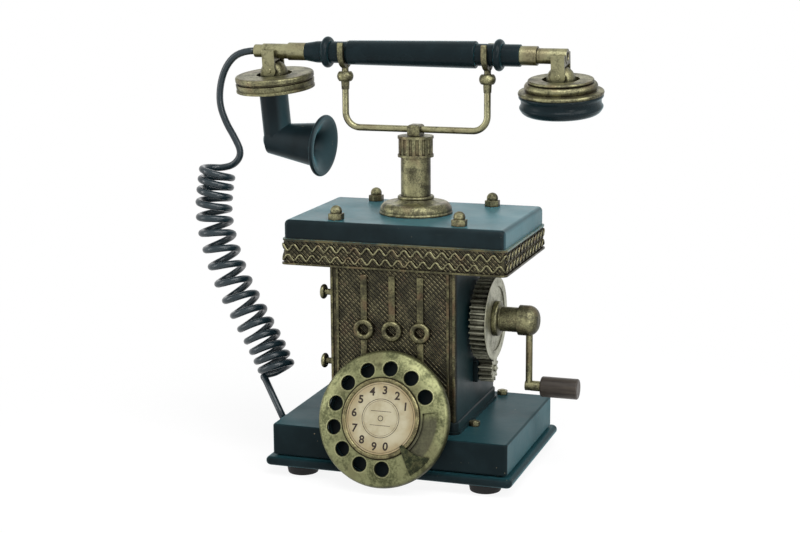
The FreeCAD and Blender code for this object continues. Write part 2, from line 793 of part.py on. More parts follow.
def fork(x):
    bore = ROD_R
    inner = NECK_HAND_R + SEAT
    outer = inner + FORK_T
    cone_low = BALL_Z - BALL_HALF_H - CONE_LEN
    edge_r = BALL_R - BALL_EDGE
    cup = turned([(bore, cone_low), (bore + 0.3, cone_low), (CONE_R, BALL_Z - BALL_HALF_H),
                  (edge_r, BALL_Z - BALL_HALF_H), ((BALL_R, BALL_Z), (edge_r, BALL_Z + BALL_HALF_H)),
                  (0, BALL_Z + BALL_HALF_H), (0, ROD_TOP), (bore, ROD_TOP)])
    cup.translate(V(x, 0, 0))
    stem = rod_z(CONE_R * 0.8, BALL_Z + BALL_HALF_H - 0.2, HAND_Z - inner - 0.6, x, 0)
    tip = FORK_TIP_Z - FORK_T / 2
    ring = Part.makeCylinder(outer, FORK_W, V(x - FORK_W / 2, 0, HAND_Z), V(1, 0, 0))
    ring = ring.common(box(x - FORK_W, x + FORK_W, -outer, outer, HAND_Z - outer, HAND_Z))
    prongs = [box(x - FORK_W / 2, x + FORK_W / 2, -outer, -inner, HAND_Z, tip),
              box(x - FORK_W / 2, x + FORK_W / 2, inner, outer, HAND_Z, tip)]
    ends = [Part.makeCylinder(FORK_T / 2, FORK_W, V(x - FORK_W / 2, side * (inner + FORK_T / 2), tip),
                              V(1, 0, 0)) for side in (-1, 1)]
    yoke = ring.fuse(prongs + ends).cut(rod_x(inner, x - FORK_W, x + FORK_W, 0, HAND_Z))
    return cup.fuse([stem, yoke])


# Handset
def ring_x(x0, x1, radius, bore):
    """Plain ring on the handset's axis."""
    blank = rod_x(radius, x0, x1, 0, HAND_Z)
    return blank.cut(rod_x(bore, x0 - 1, x1 + 1, 0, HAND_Z))


def handle_core():
    return ring_x(CORE_X0, CORE_X1, CORE_R, CORE_R - 1.0)


def grip_sleeve():
    left = SLEEVE_LEFT_R
    right = SLEEVE_RIGHT_R
    edge = SLEEVE_EDGE
    k = edge * (1 - math.sqrt(0.5))
    sleeve = turned([(CORE_R, SLEEVE_X0), (left - edge, SLEEVE_X0),
                     ((left - k, SLEEVE_X0 + k), (left, SLEEVE_X0 + edge)),
                     (right, SLEEVE_X1 - edge), ((right - k, SLEEVE_X1 - k), (right - edge, SLEEVE_X1)),
                     (CORE_R, SLEEVE_X1)])
    return on_x(sleeve, 0, 0, HAND_Z)


def dark_collars():
    left = turned([(CORE_R, COLLAR_X0), (LEFT_FERRULE_R, COLLAR_X0), (NECK_HAND_R, COLLAR_CONE_X),
                   (NECK_HAND_R, SLEEVE_X0), (CORE_R, SLEEVE_X0)])
    return group([on_x(left, 0, 0, HAND_Z), ring_x(SLEEVE_X1, COLLAR_X1, NECK_HAND_R, CORE_R)])


def bead_ring(x):
    half = BEAD_W / 2
    low = NECK_HAND_R
    bead = turned([(low, -half), (BEAD_R - 1.6, -half), ((BEAD_R, 0), (BEAD_R - 1.6, half)), (low, half)])
    return on_x(bead, x, 0, HAND_Z)


def ferrules():
    return group([ring_x(LEFT_FERRULE_X, COLLAR_X0, LEFT_FERRULE_R, CORE_R),
                  ring_x(COLLAR_X1, RIGHT_FERRULE_X, RIGHT_FERRULE_R, CORE_R)])


def clevis(x, x0, x1, bore_x0, bore_x1):
    """End tube with two cheeks that carry a capsule on a pin along Y."""
    inner = KNUCKLE_FLAT + CHEEK_GAP
    outer = inner + CHEEK_T
    body = rod_x(END_TUBE_R, x0, x1, 0, HAND_Z)
    bridge_top = HAND_Z + BRIDGE_RISE
    bridge = box(x - CHEEK_HW, x + CHEEK_HW, -outer, outer, CUP_TOP + KNUCKLE_R + BRIDGE_GAP, bridge_top)
    cheeks = []
    for side in (-1, 1):
        y0 = inner if side > 0 else -outer
        cheeks.append(box(x - CHEEK_HW, x + CHEEK_HW, y0, y0 + CHEEK_T, HINGE_Z, bridge_top))
        cheeks.append(Part.makeCylinder(CHEEK_END_R, CHEEK_T, V(x, y0, HINGE_Z), V(0, 1, 0)))
    pin = Part.makeCylinder(PIN_R, 2 * outer + 1.2, V(x, -outer - 0.6, HINGE_Z), V(0, 1, 0))
    body = body.fuse([bridge] + cheeks + [pin])
    return body.cut(rod_x(CORE_R, bore_x0, bore_x1, 0, HAND_Z))


def rolled(shape):
    """Turn a piece about the handset's axis to the roll it rests at."""
    piece = shape.copy()
    piece.rotate(V(0, 0, HAND_Z), V(1, 0, 0), HANDSET_ROLL)
    return piece


def transmitter_clevis():
    body = clevis(TRANS_X, GLAND_NECK_X, LEFT_FERRULE_X, CORE_X0, LEFT_FERRULE_X + 1)
    tip = ring_x(GLAND_X, GLAND_NECK_X, GLAND_R + 0.5, CORE_R)
    cap = rod_x(GLAND_R + 0.5, GLAND_X, CORE_X0, 0, HAND_Z)
    return rolled(body.fuse([tip, cap]))


def receiver_clevis():
    body = clevis(RECV_X, RIGHT_FERRULE_X, END_TUBE_X, RIGHT_FERRULE_X - 1, CORE_X1)
    return rolled(body.cut(rod_x(CORE_R - 1.0, CORE_X1 - 1, END_TUBE_X + 1, 0, HAND_Z)))


def knuckle(x):
    """Ball with two flats that stands on a capsule, bored for its pin."""
    ball = Part.makeSphere(KNUCKLE_R, V(x, 0, CUP_TOP))
    slab = box(x - KNUCKLE_R, x + KNUCKLE_R, -KNUCKLE_FLAT, KNUCKLE_FLAT,
               CUP_TOP - POCKET_DEPTH - 0.3, CUP_TOP + KNUCKLE_R)
    bore = Part.makeCylinder(PIN_R + RUN, 4 * KNUCKLE_FLAT, V(x, -2 * KNUCKLE_FLAT, HINGE_Z), V(0, 1, 0))
    return ball.common(slab), bore


def tilted(shape):
    """Turn a transmitter piece to its rest tilt about its hinge, then to the handset's roll."""
    piece = shape.copy()
    piece.rotate(V(TRANS_X, 0, HINGE_Z), V(0, 1, 0), TRANS_TILT)
    return rolled(piece)


def transmitter_cup():
    r = TRANS_R
    g = TRANS_GROOVE
    top = CUP_TOP
    bottom = top - TRANS_H
    floor = bottom + CUP_WALL
    roof = top - POCKET_DEPTH - CUP_WALL
    cup = turned([(0, top - POCKET_DEPTH), (POCKET_R, top - POCKET_DEPTH), (POCKET_R, top), (r - 1.2, top),
                  ((r - 0.3, top - 0.4), (r, top - 1.4)), (r, top - 2.8), (r - g, top - 3.2),
                  (r - g, top - 3.9), (r, top - 4.4), (r - 0.2, top - 6.6), (r - 0.6, bottom + 1.6),
                  (r, bottom + 1.2), (r, bottom),
                  (0, bottom), (0, floor), (r - 2 * CUP_WALL, floor), (r - 2 * CUP_WALL, roof), (0, roof)])
    cup.translate(V(TRANS_X, 0, 0))
    ball, bore = knuckle(TRANS_X)
    return tilted(cup.fuse(ball).cut([bore, rod_z(PIPE_BORE_R, bottom - 1, floor + 0.2, PIPE_X, 0)]))


def horn_place():
    """Placement of the horn's axis: local z points out of the mouth."""
    start = V(PIPE_X, 0, HINGE_Z - ELBOW_DROP)
    turn = FreeCAD.Rotation(V(0, 0, 1), -HORN_YAW) * FreeCAD.Rotation(V(0, 1, 0), 90 + HORN_DIP)
    return FreeCAD.Placement(start, turn)


def mouthpiece():
    bottom = CUP_TOP - TRANS_H
    elbow_z = HINGE_Z - ELBOW_DROP
    pipe = rod_z(PIPE_R, elbow_z, bottom, PIPE_X, 0)
    knee = Part.makeSphere(HORN_ROOT_R - 0.4, V(PIPE_X, 0, elbow_z))
    face = HORN_LEN + HORN_RIM_T
    slope = (HORN_WIDE_R - HORN_ROOT_R) / HORN_LEN
    horn = turned([(0, -5), (HORN_ROOT_R - 5 * slope, -5), (HORN_WIDE_R, HORN_LEN - 1.5),
                   ((HORN_WIDE_R + 1.2, HORN_LEN - 0.4), (HORN_RIM_R - 0.8, HORN_LEN)),
                   ((HORN_RIM_R, HORN_LEN + HORN_RIM_T / 2), (HORN_RIM_R - 0.8, face)), (0, face)])
    horn.Placement = horn_place()
    mouth = turned([(0, face + 1), (MOUTH_R + 0.4, face + 1), (MOUTH_R, face),
                    ((MOUTH_BORE_R + 3.4, face - MOUTH_DEPTH * 0.55), (MOUTH_BORE_R, face - MOUTH_DEPTH)),
                    (MOUTH_BORE_R, 0), (0, 0)])
    mouth.Placement = horn_place()
    bore = rod_z(PIPE_BORE_R, elbow_z, bottom + 1, PIPE_X, 0)
    elbow_bore = Part.makeSphere(PIPE_BORE_R, V(PIPE_X, 0, elbow_z))
    return tilted(pipe.fuse([knee, horn]).cut([mouth, bore, elbow_bore]))


def carbon_capsule():
    """Round carbon button with its thin diaphragm on the cup's floor."""
    floor = CUP_TOP - TRANS_H + CUP_WALL
    roof = CUP_TOP - POCKET_DEPTH - CUP_WALL
    capsule = turned([(0, floor), (TRANS_R - 6, floor), (TRANS_R - 6, floor + 0.8), (11, floor + 0.8),
                      (11, roof - NEAR), (0, roof - NEAR)])
    capsule.translate(V(TRANS_X, 0, 0))
    return tilted(capsule)


def receiver_shell():
    top = CUP_TOP + 0.6
    low = top - RECV_SHELL_H
    roof = top - POCKET_DEPTH - CUP_WALL - 0.6
    floor = top - POCKET_DEPTH - 0.6
    shell = turned([(0, floor), (POCKET_R, floor), (POCKET_R, top), (RECV_TOP_R, top),
                    ((RECV_TOP_R + 0.5, top - 0.9), (RECV_TOP_R - 0.3, top - 1.8)),
                    (RECV_TOP_R + 1.4, top - 2.0),
                    ((RECV_TIER_R - 0.2, top - 2.9), (RECV_TIER_R, top - 4.4)),
                    (RECV_TIER_R - 0.6, top - 6.2),
                    (RECV_FLANGE_R - 0.4, low + RECV_FLANGE_T),
                    ((RECV_FLANGE_R, low + RECV_FLANGE_T / 2), (RECV_FLANGE_R - 0.4, low)),
                    (RECV_TIER_R - 2 * CUP_WALL, low),
                    (RECV_TIER_R - 2 * CUP_WALL, roof), (0, roof)])
    shell.translate(V(RECV_X, 0, 0))
    ball, bore = knuckle(RECV_X)
    return rolled(shell.fuse(ball).cut(bore))


def ear_cap():
    top = CUP_TOP + 0.6 - RECV_SHELL_H
    low = top - EAR_H
    cap = turned([(0, top - 2.2), (RECV_TIER_R - 2 * CUP_WALL - 1, top - 2.2),
                  (RECV_TIER_R - 2 * CUP_WALL - 1, top), (EAR_RIM_R - 0.4, top),
                  ((EAR_RIM_R, top - 0.9), (EAR_RIM_R - 0.5, top - 1.8)), (EAR_WAIST_R, top - 2.6),
                  ((EAR_WAIST_R - 0.3, top - 4.2), (EAR_WAIST_R, top - 5.8)),
                  (EAR_LOWER_R - 0.2, top - 6.4),
                  ((EAR_LOWER_R, top - 7.2), (EAR_LOWER_R - 0.4, top - 8.2)),
                  ((EAR_LOWER_R - 2.4, low + 0.8), (EAR_LOWER_R - 6.5, low)),
                  ((9.0, low + 1.4), (0, low + 3.6))])
    cap.translate(V(RECV_X, 0, 0))
    holes = [rod_z(EAR_HOLE_R, low - 1, top, RECV_X, 0)]
    for i in range(6):
        angle = math.radians(60 * i)
        holes.append(rod_z(EAR_HOLE_R, low - 1, top, RECV_X + 6 * math.cos(angle), 6 * math.sin(angle)))
    return rolled(cap.cut(holes))


def receiver_magnet():
    """Cup magnet with its two pole coils, hung from the shell's roof."""
    top = CUP_TOP - POCKET_DEPTH - CUP_WALL
    low = CUP_TOP + 0.6 - RECV_SHELL_H - 2.2
    bar = box(RECV_X - 11, RECV_X + 11, -4, 4, top - 1.6, top)
    coils = [rod_z(3.6, low + NEAR, top - 1.6, RECV_X + side * 6.5, 0) for side in (-1, 1)]
    return rolled(bar.fuse(coils))


# Crank and gears
def gear_blank(teeth, x0, x1, z, first_tooth):
    """Spur gear on an axis along X; first_tooth is the angle of one tooth from +Y to +Z."""
    pitch_r = MODULE * teeth / 2
    tip_r = pitch_r + MODULE
    root_r = pitch_r - 1.3 * MODULE
    step = 360 / teeth
    corners = []
    for i in range(teeth):
        centre = first_tooth + i * step
        for radius, share in ((root_r, -0.30), (tip_r, -0.12), (tip_r, 0.12), (root_r, 0.30)):
            angle = math.radians(centre + share * step)
            corners.append(V(x0, CRANK_Y + radius * math.cos(angle), z + radius * math.sin(angle)))
    return Part.Face(Part.makePolygon(corners + corners[:1])).extrude(V(x1 - x0, 0, 0))


def crank_gear():
    gear = gear_blank(GEAR_TEETH, GEAR_X0, GEAR_X1, CRANK_Z, -90)
    face_r = MODULE * GEAR_TEETH / 2 - 1.3 * MODULE - GEAR_RIM
    recess = rod_x(face_r, GEAR_X1 - GEAR_RECESS, GEAR_X1 + 1, CRANK_Y, CRANK_Z)
    return gear.cut([recess, rod_x(SHAFT_R, GEAR_X0 - 1, GEAR_X1 + 1, CRANK_Y, CRANK_Z)])


def crank_shaft():
    shaft = rod_x(SHAFT_R, SHAFT_X0, HUB_X - 1, CRANK_Y, CRANK_Z)
    collar = rod_x(SHAFT_R + 2, SHAFT_X0, BODY_HX - BODY_WALL - 1.2, CRANK_Y, CRANK_Z)
    return shaft.fuse(collar)


def crank_hub():
    seat = GEAR_X1 - GEAR_RECESS
    hub = turned([(SHAFT_R, seat), (HUB_FLANGE_R, seat), (HUB_FLANGE_R, HUB_FLANGE_X - 1.2),
                  ((HUB_FLANGE_R - 0.4, HUB_FLANGE_X - 0.4), (HUB_R + 1.6, HUB_FLANGE_X)),
                  (HUB_R, HUB_FLANGE_X + 0.6),
                  (HUB_R, HUB_X), (SHAFT_R, HUB_X)])
    return on_x(hub, 0, CRANK_Y, CRANK_Z)


def crank_arm():
    """Dome cap, arm and boss, with the axle of the grip."""
    cap = turned([(0, HUB_X), (CAP_R, HUB_X), (CAP_R, CAP_X - 5.5),
                  ((CAP_R * 0.8, CAP_X - 1.8), (1.0, CAP_X)),
                  (0, CAP_X)])
    cap = on_x(cap, 0, CRANK_Y, CRANK_Z)
    end_z = CRANK_Z - ARM_DROP
    arm = rod_z(ARM_R, end_z, CRANK_Z, ARM_X, CRANK_Y)
    boss = rod_x(BOSS_R, ARM_X - BOSS_HALF, ARM_X + BOSS_HALF, CRANK_Y, end_z)
    sleeve = rod_x(SPINDLE_R, ARM_X + BOSS_HALF - 0.5, SPINDLE_X, CRANK_Y, end_z)
    axle = rod_x(AXLE_R, SPINDLE_X - 1, GRIP_X1 - 2, CRANK_Y, end_z)
    return cap.fuse([arm, boss, sleeve, axle])


def crank_grip():
    end_z = CRANK_Z - ARM_DROP
    grip = turned([(AXLE_R + RUN, GRIP_X0), (GRIP_R - 0.5, GRIP_X0), (GRIP_R, GRIP_X0 + 0.5),
                   (GRIP_R, GRIP_X1 - 0.6), (GRIP_R - 0.6, GRIP_X1), (0, GRIP_X1), (0, GRIP_X1 - 1.6),
                   (AXLE_R + RUN, GRIP_X1 - 1.6)])
    return on_x(grip, 0, CRANK_Y, end_z)


def shaft_bush():
    outer = BODY_HX + BUSH_PROUD
    bush = rod_x(BUSH_R, BODY_HX - BODY_WALL - 1, BODY_HX, CRANK_Y, CRANK_Z)
    flange = rod_x(BUSH_FLANGE_R, BODY_HX, outer, CRANK_Y, CRANK_Z)
    return bush.fuse(flange).cut(rod_x(SHAFT_R + RUN, 0, 2 * BODY_HX, CRANK_Y, CRANK_Z))


def pinion_bearing():
    block = box(BODY_HX, BODY_HX + BEARING_PROUD, CRANK_Y - BEARING_HY, CRANK_Y + BEARING_HY,
                PINION_Z - BEARING_DOWN, PINION_Z + BEARING_UP)
    bore = rod_x(PINION_SHAFT_R + RUN, BODY_HX - 1, BODY_HX + BEARING_PROUD + 1, CRANK_Y, PINION_Z)
    return block.cut(bore)


def pinion():
    gear = gear_blank(PINION_TEETH, PINION_X0, PINION_X1, PINION_Z, 90 + 180 / PINION_TEETH)
    shaft = rod_x(PINION_SHAFT_R, ARMATURE_HX, PINION_X1 + 1.2, CRANK_Y, PINION_Z)
    return gear.fuse(shaft)


def armature():
    core = rod_x(ARMATURE_R, -ARMATURE_HX, ARMATURE_HX, CRANK_Y, PINION_Z)
    reach = ARMATURE_HX + 1
    slots = [box(-reach, reach, CRANK_Y - 2.4, CRANK_Y + 2.4, PINION_Z + 3.5, PINION_Z + 9),
             box(-reach, reach, CRANK_Y - 2.4, CRANK_Y + 2.4, PINION_Z - 9, PINION_Z - 3.5)]
    return core.cut(slots).fuse(rod_x(PINION_SHAFT_R, SHAFT_END_X, -ARMATURE_HX, CRANK_Y, PINION_Z))


def magneto_magnets():
    arch_in = MAGNET_IN_R
    arch_out = MAGNET_OUT_R
    magnets = []
    for x in cluster(MAGNET_COUNT, MAGNET_W + MAGNET_GAP):
        arch = rod_x(arch_out, x - MAGNET_W / 2, x + MAGNET_W / 2, CRANK_Y, PINION_Z)
        legs = box(x - MAGNET_W / 2, x + MAGNET_W / 2, CRANK_Y - arch_out, CRANK_Y + arch_out,
                   MAGNET_BED_Z, PINION_Z)
        bend = arch.common(box(x - MAGNET_W, x + MAGNET_W, CRANK_Y - arch_out, CRANK_Y + arch_out,
                               PINION_Z, PINION_Z + arch_out))
        bore = rod_x(arch_in, x - MAGNET_W, x + MAGNET_W, CRANK_Y, PINION_Z)
        throat = box(x - MAGNET_W, x + MAGNET_W, CRANK_Y - arch_in, CRANK_Y + arch_in,
                     MAGNET_BED_Z - 1, PINION_Z)
        magnets.append(bend.fuse(legs).cut([bore, throat]))
    return group(magnets)


def magneto_frame():
    bed = box(-FRAME_HX, FRAME_HX, CRANK_Y - FRAME_HY, CRANK_Y + FRAME_HY, BASE_TOP, MAGNET_BED_Z)
    bed = bed.cut(box(-FRAME_HX + 4, FRAME_HX - 4, CRANK_Y - FRAME_HY - 1, CRANK_Y + FRAME_HY + 1,
                      BASE_TOP - 1, MAGNET_BED_Z - 4))
    plates = [box(x, x + FRAME_PLATE_T, CRANK_Y - FRAME_HY, CRANK_Y + FRAME_HY, BASE_TOP, FRAME_TOP)
              for x in (-FRAME_HX - FRAME_PLATE_T, FRAME_HX)]
    frame = bed.fuse(plates)
    return frame.cut(rod_x(PINION_SHAFT_R + RUN, -2 * FRAME_HX, 2 * FRAME_HX, CRANK_Y, PINION_Z))


# Ringer, coils and switch
def gong(x):
    top = GONG_TOP
    low = top - GONG_H
    bell = turned([(POST_R, top - GONG_T), (POST_R, top), ((GONG_R * 0.75, top - 1.2), (GONG_R, low)),
                   (GONG_R - GONG_T, low), ((GONG_R * 0.70, top - 1.2 - GONG_T), (POST_R, top - GONG_T))])
    bell.translate(V(x, GONG_Y, 0))
    post = rod_z(POST_R, FOOT_H + BOTTOM_PLATE_T, top, x, GONG_Y)
    nut = rod_z(POST_R + 1.2, top, top + 1.4, x, GONG_Y)
    return bell.fuse([post, nut])


def ringer_coils():
    floor = FOOT_H + BOTTOM_PLATE_T
    yoke = box(-RINGER_COIL_X - 5, RINGER_COIL_X + 5, RINGER_COIL_Y - 5, RINGER_COIL_Y + 5,
               floor, floor + YOKE_T)
    coils = [rod_z(RINGER_COIL_R, floor + YOKE_T, floor + YOKE_T + RINGER_COIL_H, side * RINGER_COIL_X,
                   RINGER_COIL_Y) for side in (-1, 1)]
    bracket = box(-4, 4, RINGER_COIL_Y + 4, HAMMER_PIVOT_Y + 3, floor, floor + YOKE_T)
    pivot = rod_z(HAMMER_PIN_R, floor, HAMMER_Z + 2.4, 0, HAMMER_PIVOT_Y)
    return yoke.fuse(coils + [bracket, pivot])


def ringer_hammer():
    armature_bar = box(-RINGER_COIL_X - 4, RINGER_COIL_X + 4, HAMMER_PIVOT_Y - 3, HAMMER_PIVOT_Y + 3,
                       HAMMER_Z - 1, HAMMER_Z + 1)
    pivot = V(0, HAMMER_PIVOT_Y, HAMMER_Z)
    rod = Part.makeCylinder(HAMMER_ROD_R, GONG_Y - HAMMER_PIVOT_Y, pivot, V(0, 1, 0))
    ball = Part.makeSphere(HAMMER_BALL_R, V(0, GONG_Y, HAMMER_Z))
    bore = rod_z(HAMMER_PIN_R + RUN, HAMMER_Z - 5, HAMMER_Z + 5, 0, HAMMER_PIVOT_Y)
    return armature_bar.fuse([rod, ball]).cut(bore)


def induction_coil():
    floor = FOOT_H + BOTTOM_PLATE_T
    x = INDUCTION_X
    y0 = INDUCTION_Y - INDUCTION_HALF
    y1 = INDUCTION_Y + INDUCTION_HALF
    z = floor + INDUCTION_R + 1
    winding = Part.makeCylinder(INDUCTION_R - 1.2, y1 - y0, V(x, y0, z), V(0, 1, 0))
    cheeks = [box(x - INDUCTION_R, x + INDUCTION_R, y, y + CHEEK_PLATE_T, floor, z + INDUCTION_R)
              for y in (y0, y1 - CHEEK_PLATE_T)]
    return winding.fuse(cheeks)


def hook_switch():
    """Bracket with two contact springs beside the plunger's lower end."""
    floor = BODY_TOP + LID_WALL
    post = box(-6, 6, SWITCH_Y - 3, SWITCH_Y + 3, floor, floor + 4.5)
    leaves = [box(-3.5, 3.5, -4, SWITCH_Y, floor + z, floor + z + LEAF_T) for z in (2.0, 4.0)]
    return post.fuse(leaves)


# Dial
def to_dial(shape):
    """Put a piece from the dial's own frame onto the telephone."""
    piece = shape.copy()
    piece.Placement = FreeCAD.Placement(DIAL_CENTRE, FreeCAD.Rotation(V(1, 0, 0), 90 - DIAL_LEAN))
    return piece


def dome_start(lift):
    return (WHEEL_IN_R, 0.4 + lift)


def dome_arc(lift):
    """Arc over the wheel's dome from its start to the round shoulder, or a lift above it."""
    return [(((WHEEL_R + WHEEL_IN_R) / 2, -0.2 + lift), (WHEEL_R - 2.8, -WHEEL_DROP + 0.5 + lift))]


def finger_wheel():
    r = WHEEL_R
    drop = WHEEL_DROP
    t = WHEEL_T
    mid = (r + WHEEL_IN_R) / 2
    web = -HOLDER_T - 0.4
    back = -drop - 0.9 - WHEEL_EDGE_H
    wheel = turned([(POST_DIAL_R + RUN, web), (WHEEL_IN_R, web), dome_start(0)] + dome_arc(0)
                   + [((r - 1.0, -drop - 0.5), (r - 0.3, -drop - 1.9)), (r, back),
                    (r - 1.0, back), ((mid, -t), (WHEEL_IN_R - 1.5, web - t + 0.6)),
                    (POST_DIAL_R + 3, web - t + 0.6), (POST_DIAL_R + 3, web - t - 2),
                    (POST_DIAL_R + RUN, web - t - 2)])
    holes = []
    for i in range(FINGER_HOLES):
        angle = math.radians(FIRST_FINGER + i * FINGER_STEP)
        across, up = FINGER_CIRCLE_R * math.cos(angle), FINGER_CIRCLE_R * math.sin(angle)
        holes.append(rod_z(FINGER_R, -20, 20, across, up))
    low = math.radians(POCKET_FROM)
    high = math.radians(POCKET_TO)
    middle = (low + high) / 2
    ends = []
    for radius in (POCKET_IN_R, POCKET_OUT_R):
        ends.append([V(radius * math.cos(a), radius * math.sin(a), -POCKET_SINK)
                     for a in (low, middle, high)])
    inner, outer = ends
    pocket = Part.Wire([Part.Arc(*inner).toShape(), Part.LineSegment(inner[2], outer[2]).toShape(),
                        Part.Arc(outer[2], outer[1], outer[0]).toShape(),
                        Part.LineSegment(outer[0], inner[0]).toShape()])
    pocket = Part.Face(pocket).extrude(V(0, 0, 10))
    return to_dial(wheel.cut(holes + [pocket]))


def dial_case():
    floor = CASE_FLOOR_Z
    web = -HOLDER_T - 0.4
    post_low = floor + CASE_WALL
    case = turned([(0, floor), (CASE_R, floor), (CASE_R, CASE_LIP_Z), (CASE_R - CASE_WALL, CASE_LIP_Z),
                   (CASE_R - CASE_WALL, post_low), (POST_DIAL_R + 2, post_low), (POST_DIAL_R + 2, -6.2),
                   (POST_DIAL_R, -6.2), (POST_DIAL_R, -HOLDER_T), (0, -HOLDER_T)])
    drum = turned([(0, DRUM_Z), (DRUM_R - 1.5, DRUM_Z), (DRUM_R, DRUM_Z + 1.5), (DRUM_R, floor), (0, floor)])
    spigot = rod_z(SPIGOT_R, -40, DRUM_Z, 0, 0)
    whole = to_dial(case.fuse([drum, spigot]))
    behind = box(-BODY_HX, BODY_HX, BODY_FRONT, BODY_BACK, 0, BODY_TOP)
    return whole.cut([behind, skirt()])


def number_card():
    return to_dial(rod_z(CARD_R, 0, CARD_T, 0, 0))


def bezel_ring():
    t = BEZEL_PROUD
    return turned([(0, -HOLDER_T), (BEZEL_R, -HOLDER_T), (BEZEL_R, 0.6), ((CARD_R + 1.4, t), (CARD_R, 0.6)),
                   (CARD_R, 0), (0, 0)])


def card_bezel():
    return to_dial(bezel_ring())


def polar(radius, degrees, z):
    angle = math.radians(degrees)
    return V(radius * math.cos(angle), radius * math.sin(angle), z)


def finger_stop():
    """Thin leaf that reaches from the fixed bezel out over the wheel and follows its dome."""
    low = STOP_LIFT
    high = STOP_LIFT + STOP_T
    top_end = dome_arc(high)[0][1]
    band = turned([(STOP_TIP_R, dome_start(low)[1]), dome_start(low)] + dome_arc(low)
                  + [top_end, (dome_arc(high)[0][0], dome_start(high)), (STOP_TIP_R, dome_start(high)[1])])
    z = -10
    tip_low = polar(STOP_TIP_R, STOP_TIP_FROM, z)
    tip_high = polar(STOP_TIP_R, STOP_TIP_TO, z)
    out_low = polar(STOP_OUT_R, STOP_OUT_FROM, z)
    out_high = polar(STOP_OUT_R, STOP_OUT_TO, z)
    out_middle = polar(STOP_OUT_R, (STOP_OUT_FROM + STOP_OUT_TO) / 2, z)
    hollow = (out_high + tip_high) * 0.5 + (out_low - out_high).normalize() * 1.6
    leaf = Part.Wire([Part.LineSegment(tip_low, out_low).toShape(),
                      Part.Arc(out_low, out_middle, out_high).toShape(),
                      Part.Arc(out_high, hollow, tip_high).toShape(),
                      Part.LineSegment(tip_high, tip_low).toShape()])
    leaf = Part.Face(leaf).extrude(V(0, 0, 20))
    return to_dial(band.common(leaf).cut(bezel_ring()))


# Cord
def coil_path():
    """Edges of the curly stretch, worked out curl by curl round its centre line."""
    spine = Part.BSplineCurve()
    poles = [V(*p) for p in COIL_ROUTE]
    knots = list(range(len(poles) - 1))
    spine.buildFromPolesMultsKnots(poles, [3] + [1] * (len(knots) - 2) + [3], knots, False, 2)
    line = spine.toShape()
    length = line.Length
    quarters = 4 * CURLS
    turn = 360 * CURLS + CURL_END - CURL_START
    nodes = []
    for i in range(quarters + 1):
        place = []
        for step in (-0.01, 0.0, 0.01):
            at = min(max(i / quarters + step, 0.0), 1.0)
            far = at - CURL_BUNCH * math.sin(2 * math.pi * at) / (2 * math.pi)
            place.append(curl_point(line, far * length, CURL_START + at * turn))
        nodes.append((place[1], (place[2] - place[0]).normalize()))
    return nodes


def curl_point(line, distance, degrees):
    parameter = line.getParameterByLength(distance)
    centre = line.valueAt(parameter)
    down = line.tangentAt(parameter)
    right = (V(1, 0, 0) - down * down.x).normalize()
    back = right.cross(down)
    angle = math.radians(degrees)
    return centre + right * (CURL_R * math.cos(angle)) + back * (CURL_R * math.sin(angle))


def cord_pieces():
    nodes = coil_path()
    lead_edges, lead_radii = route_edges(LEAD_ROUTE)
    lead_end = V(*LEAD_ROUTE[-1])
    lead_heading = (lead_end - V(*LEAD_ROUTE[-2])).normalize()
    straight = 2 * CORD_R
    begin = lead_end + lead_heading * straight
    first, heading = nodes[0]
    elbow = V(*LEAD_ELBOW)
    elbow_heading = V(*LEAD_ELBOW_HEADING).normalize()
    coil_edges = [Part.LineSegment(lead_end, begin).toShape()]
    coil_edges += biarc(begin, lead_heading, elbow, elbow_heading)
    coil_edges += biarc(elbow, elbow_heading, first, heading)
    for (p0, t0), (p1, t1) in zip(nodes, nodes[1:]):
        coil_edges += biarc(p0, t0, p1, t1)
    last, heading = nodes[-1]
    start = V(*TAIL_START)
    tail_heading = (V(*TAIL_END) - start).normalize()
    coil_edges += biarc(last, heading, start, tail_heading)
    leave = start + tail_heading * straight
    coil_edges.append(Part.LineSegment(start, leave).toShape())
    return lead_edges, lead_radii, coil_edges, leave


def cord_tail(leave):
    """Straight run that ends flat against the grommet."""
    end = V(*TAIL_END)
    heading = (end - leave).normalize()
    tail = Part.makeCylinder(CORD_R, (end - leave).Length + 3 * CORD_R, leave, heading)
    return tail.cut(box(end.x, end.x + 20, end.y - 20, end.y + 20, end.z - 20, end.z + 20))


def least_gap(edges, radius):
    """Least clear space between stretches of the tube more than half a curl apart."""
    points = []
    travelled = 0.0
    for edge in edges:
        steps = max(2, int(edge.Length / 1.0))
        for i in range(steps):
            at = edge.FirstParameter + (edge.LastParameter - edge.FirstParameter) * i / steps
            points.append((travelled + edge.Length * i / steps, edge.valueAt(at)))
        travelled += edge.Length
    least = 1e9
    apart = math.pi * CURL_R
    for i, (si, pi) in enumerate(points):
        for sj, pj in points[i + 1:]:
            if sj - si > apart:
                least = min(least, (pi - pj).Length)
    return least - 2 * radius


def cord_grommet():
    grommet = rod_x(GROMMET_R, -BASE_HX, -BASE_HX + BASE_WALL + COVE_DEPTH, CORD_BASE_Y, GROMMET_Z)
    flange = rod_x(GROMMET_R + GROMMET_RIM, -BASE_HX - GROMMET_PROUD, -BASE_HX, CORD_BASE_Y, GROMMET_Z)
    return grommet.fuse(flange)


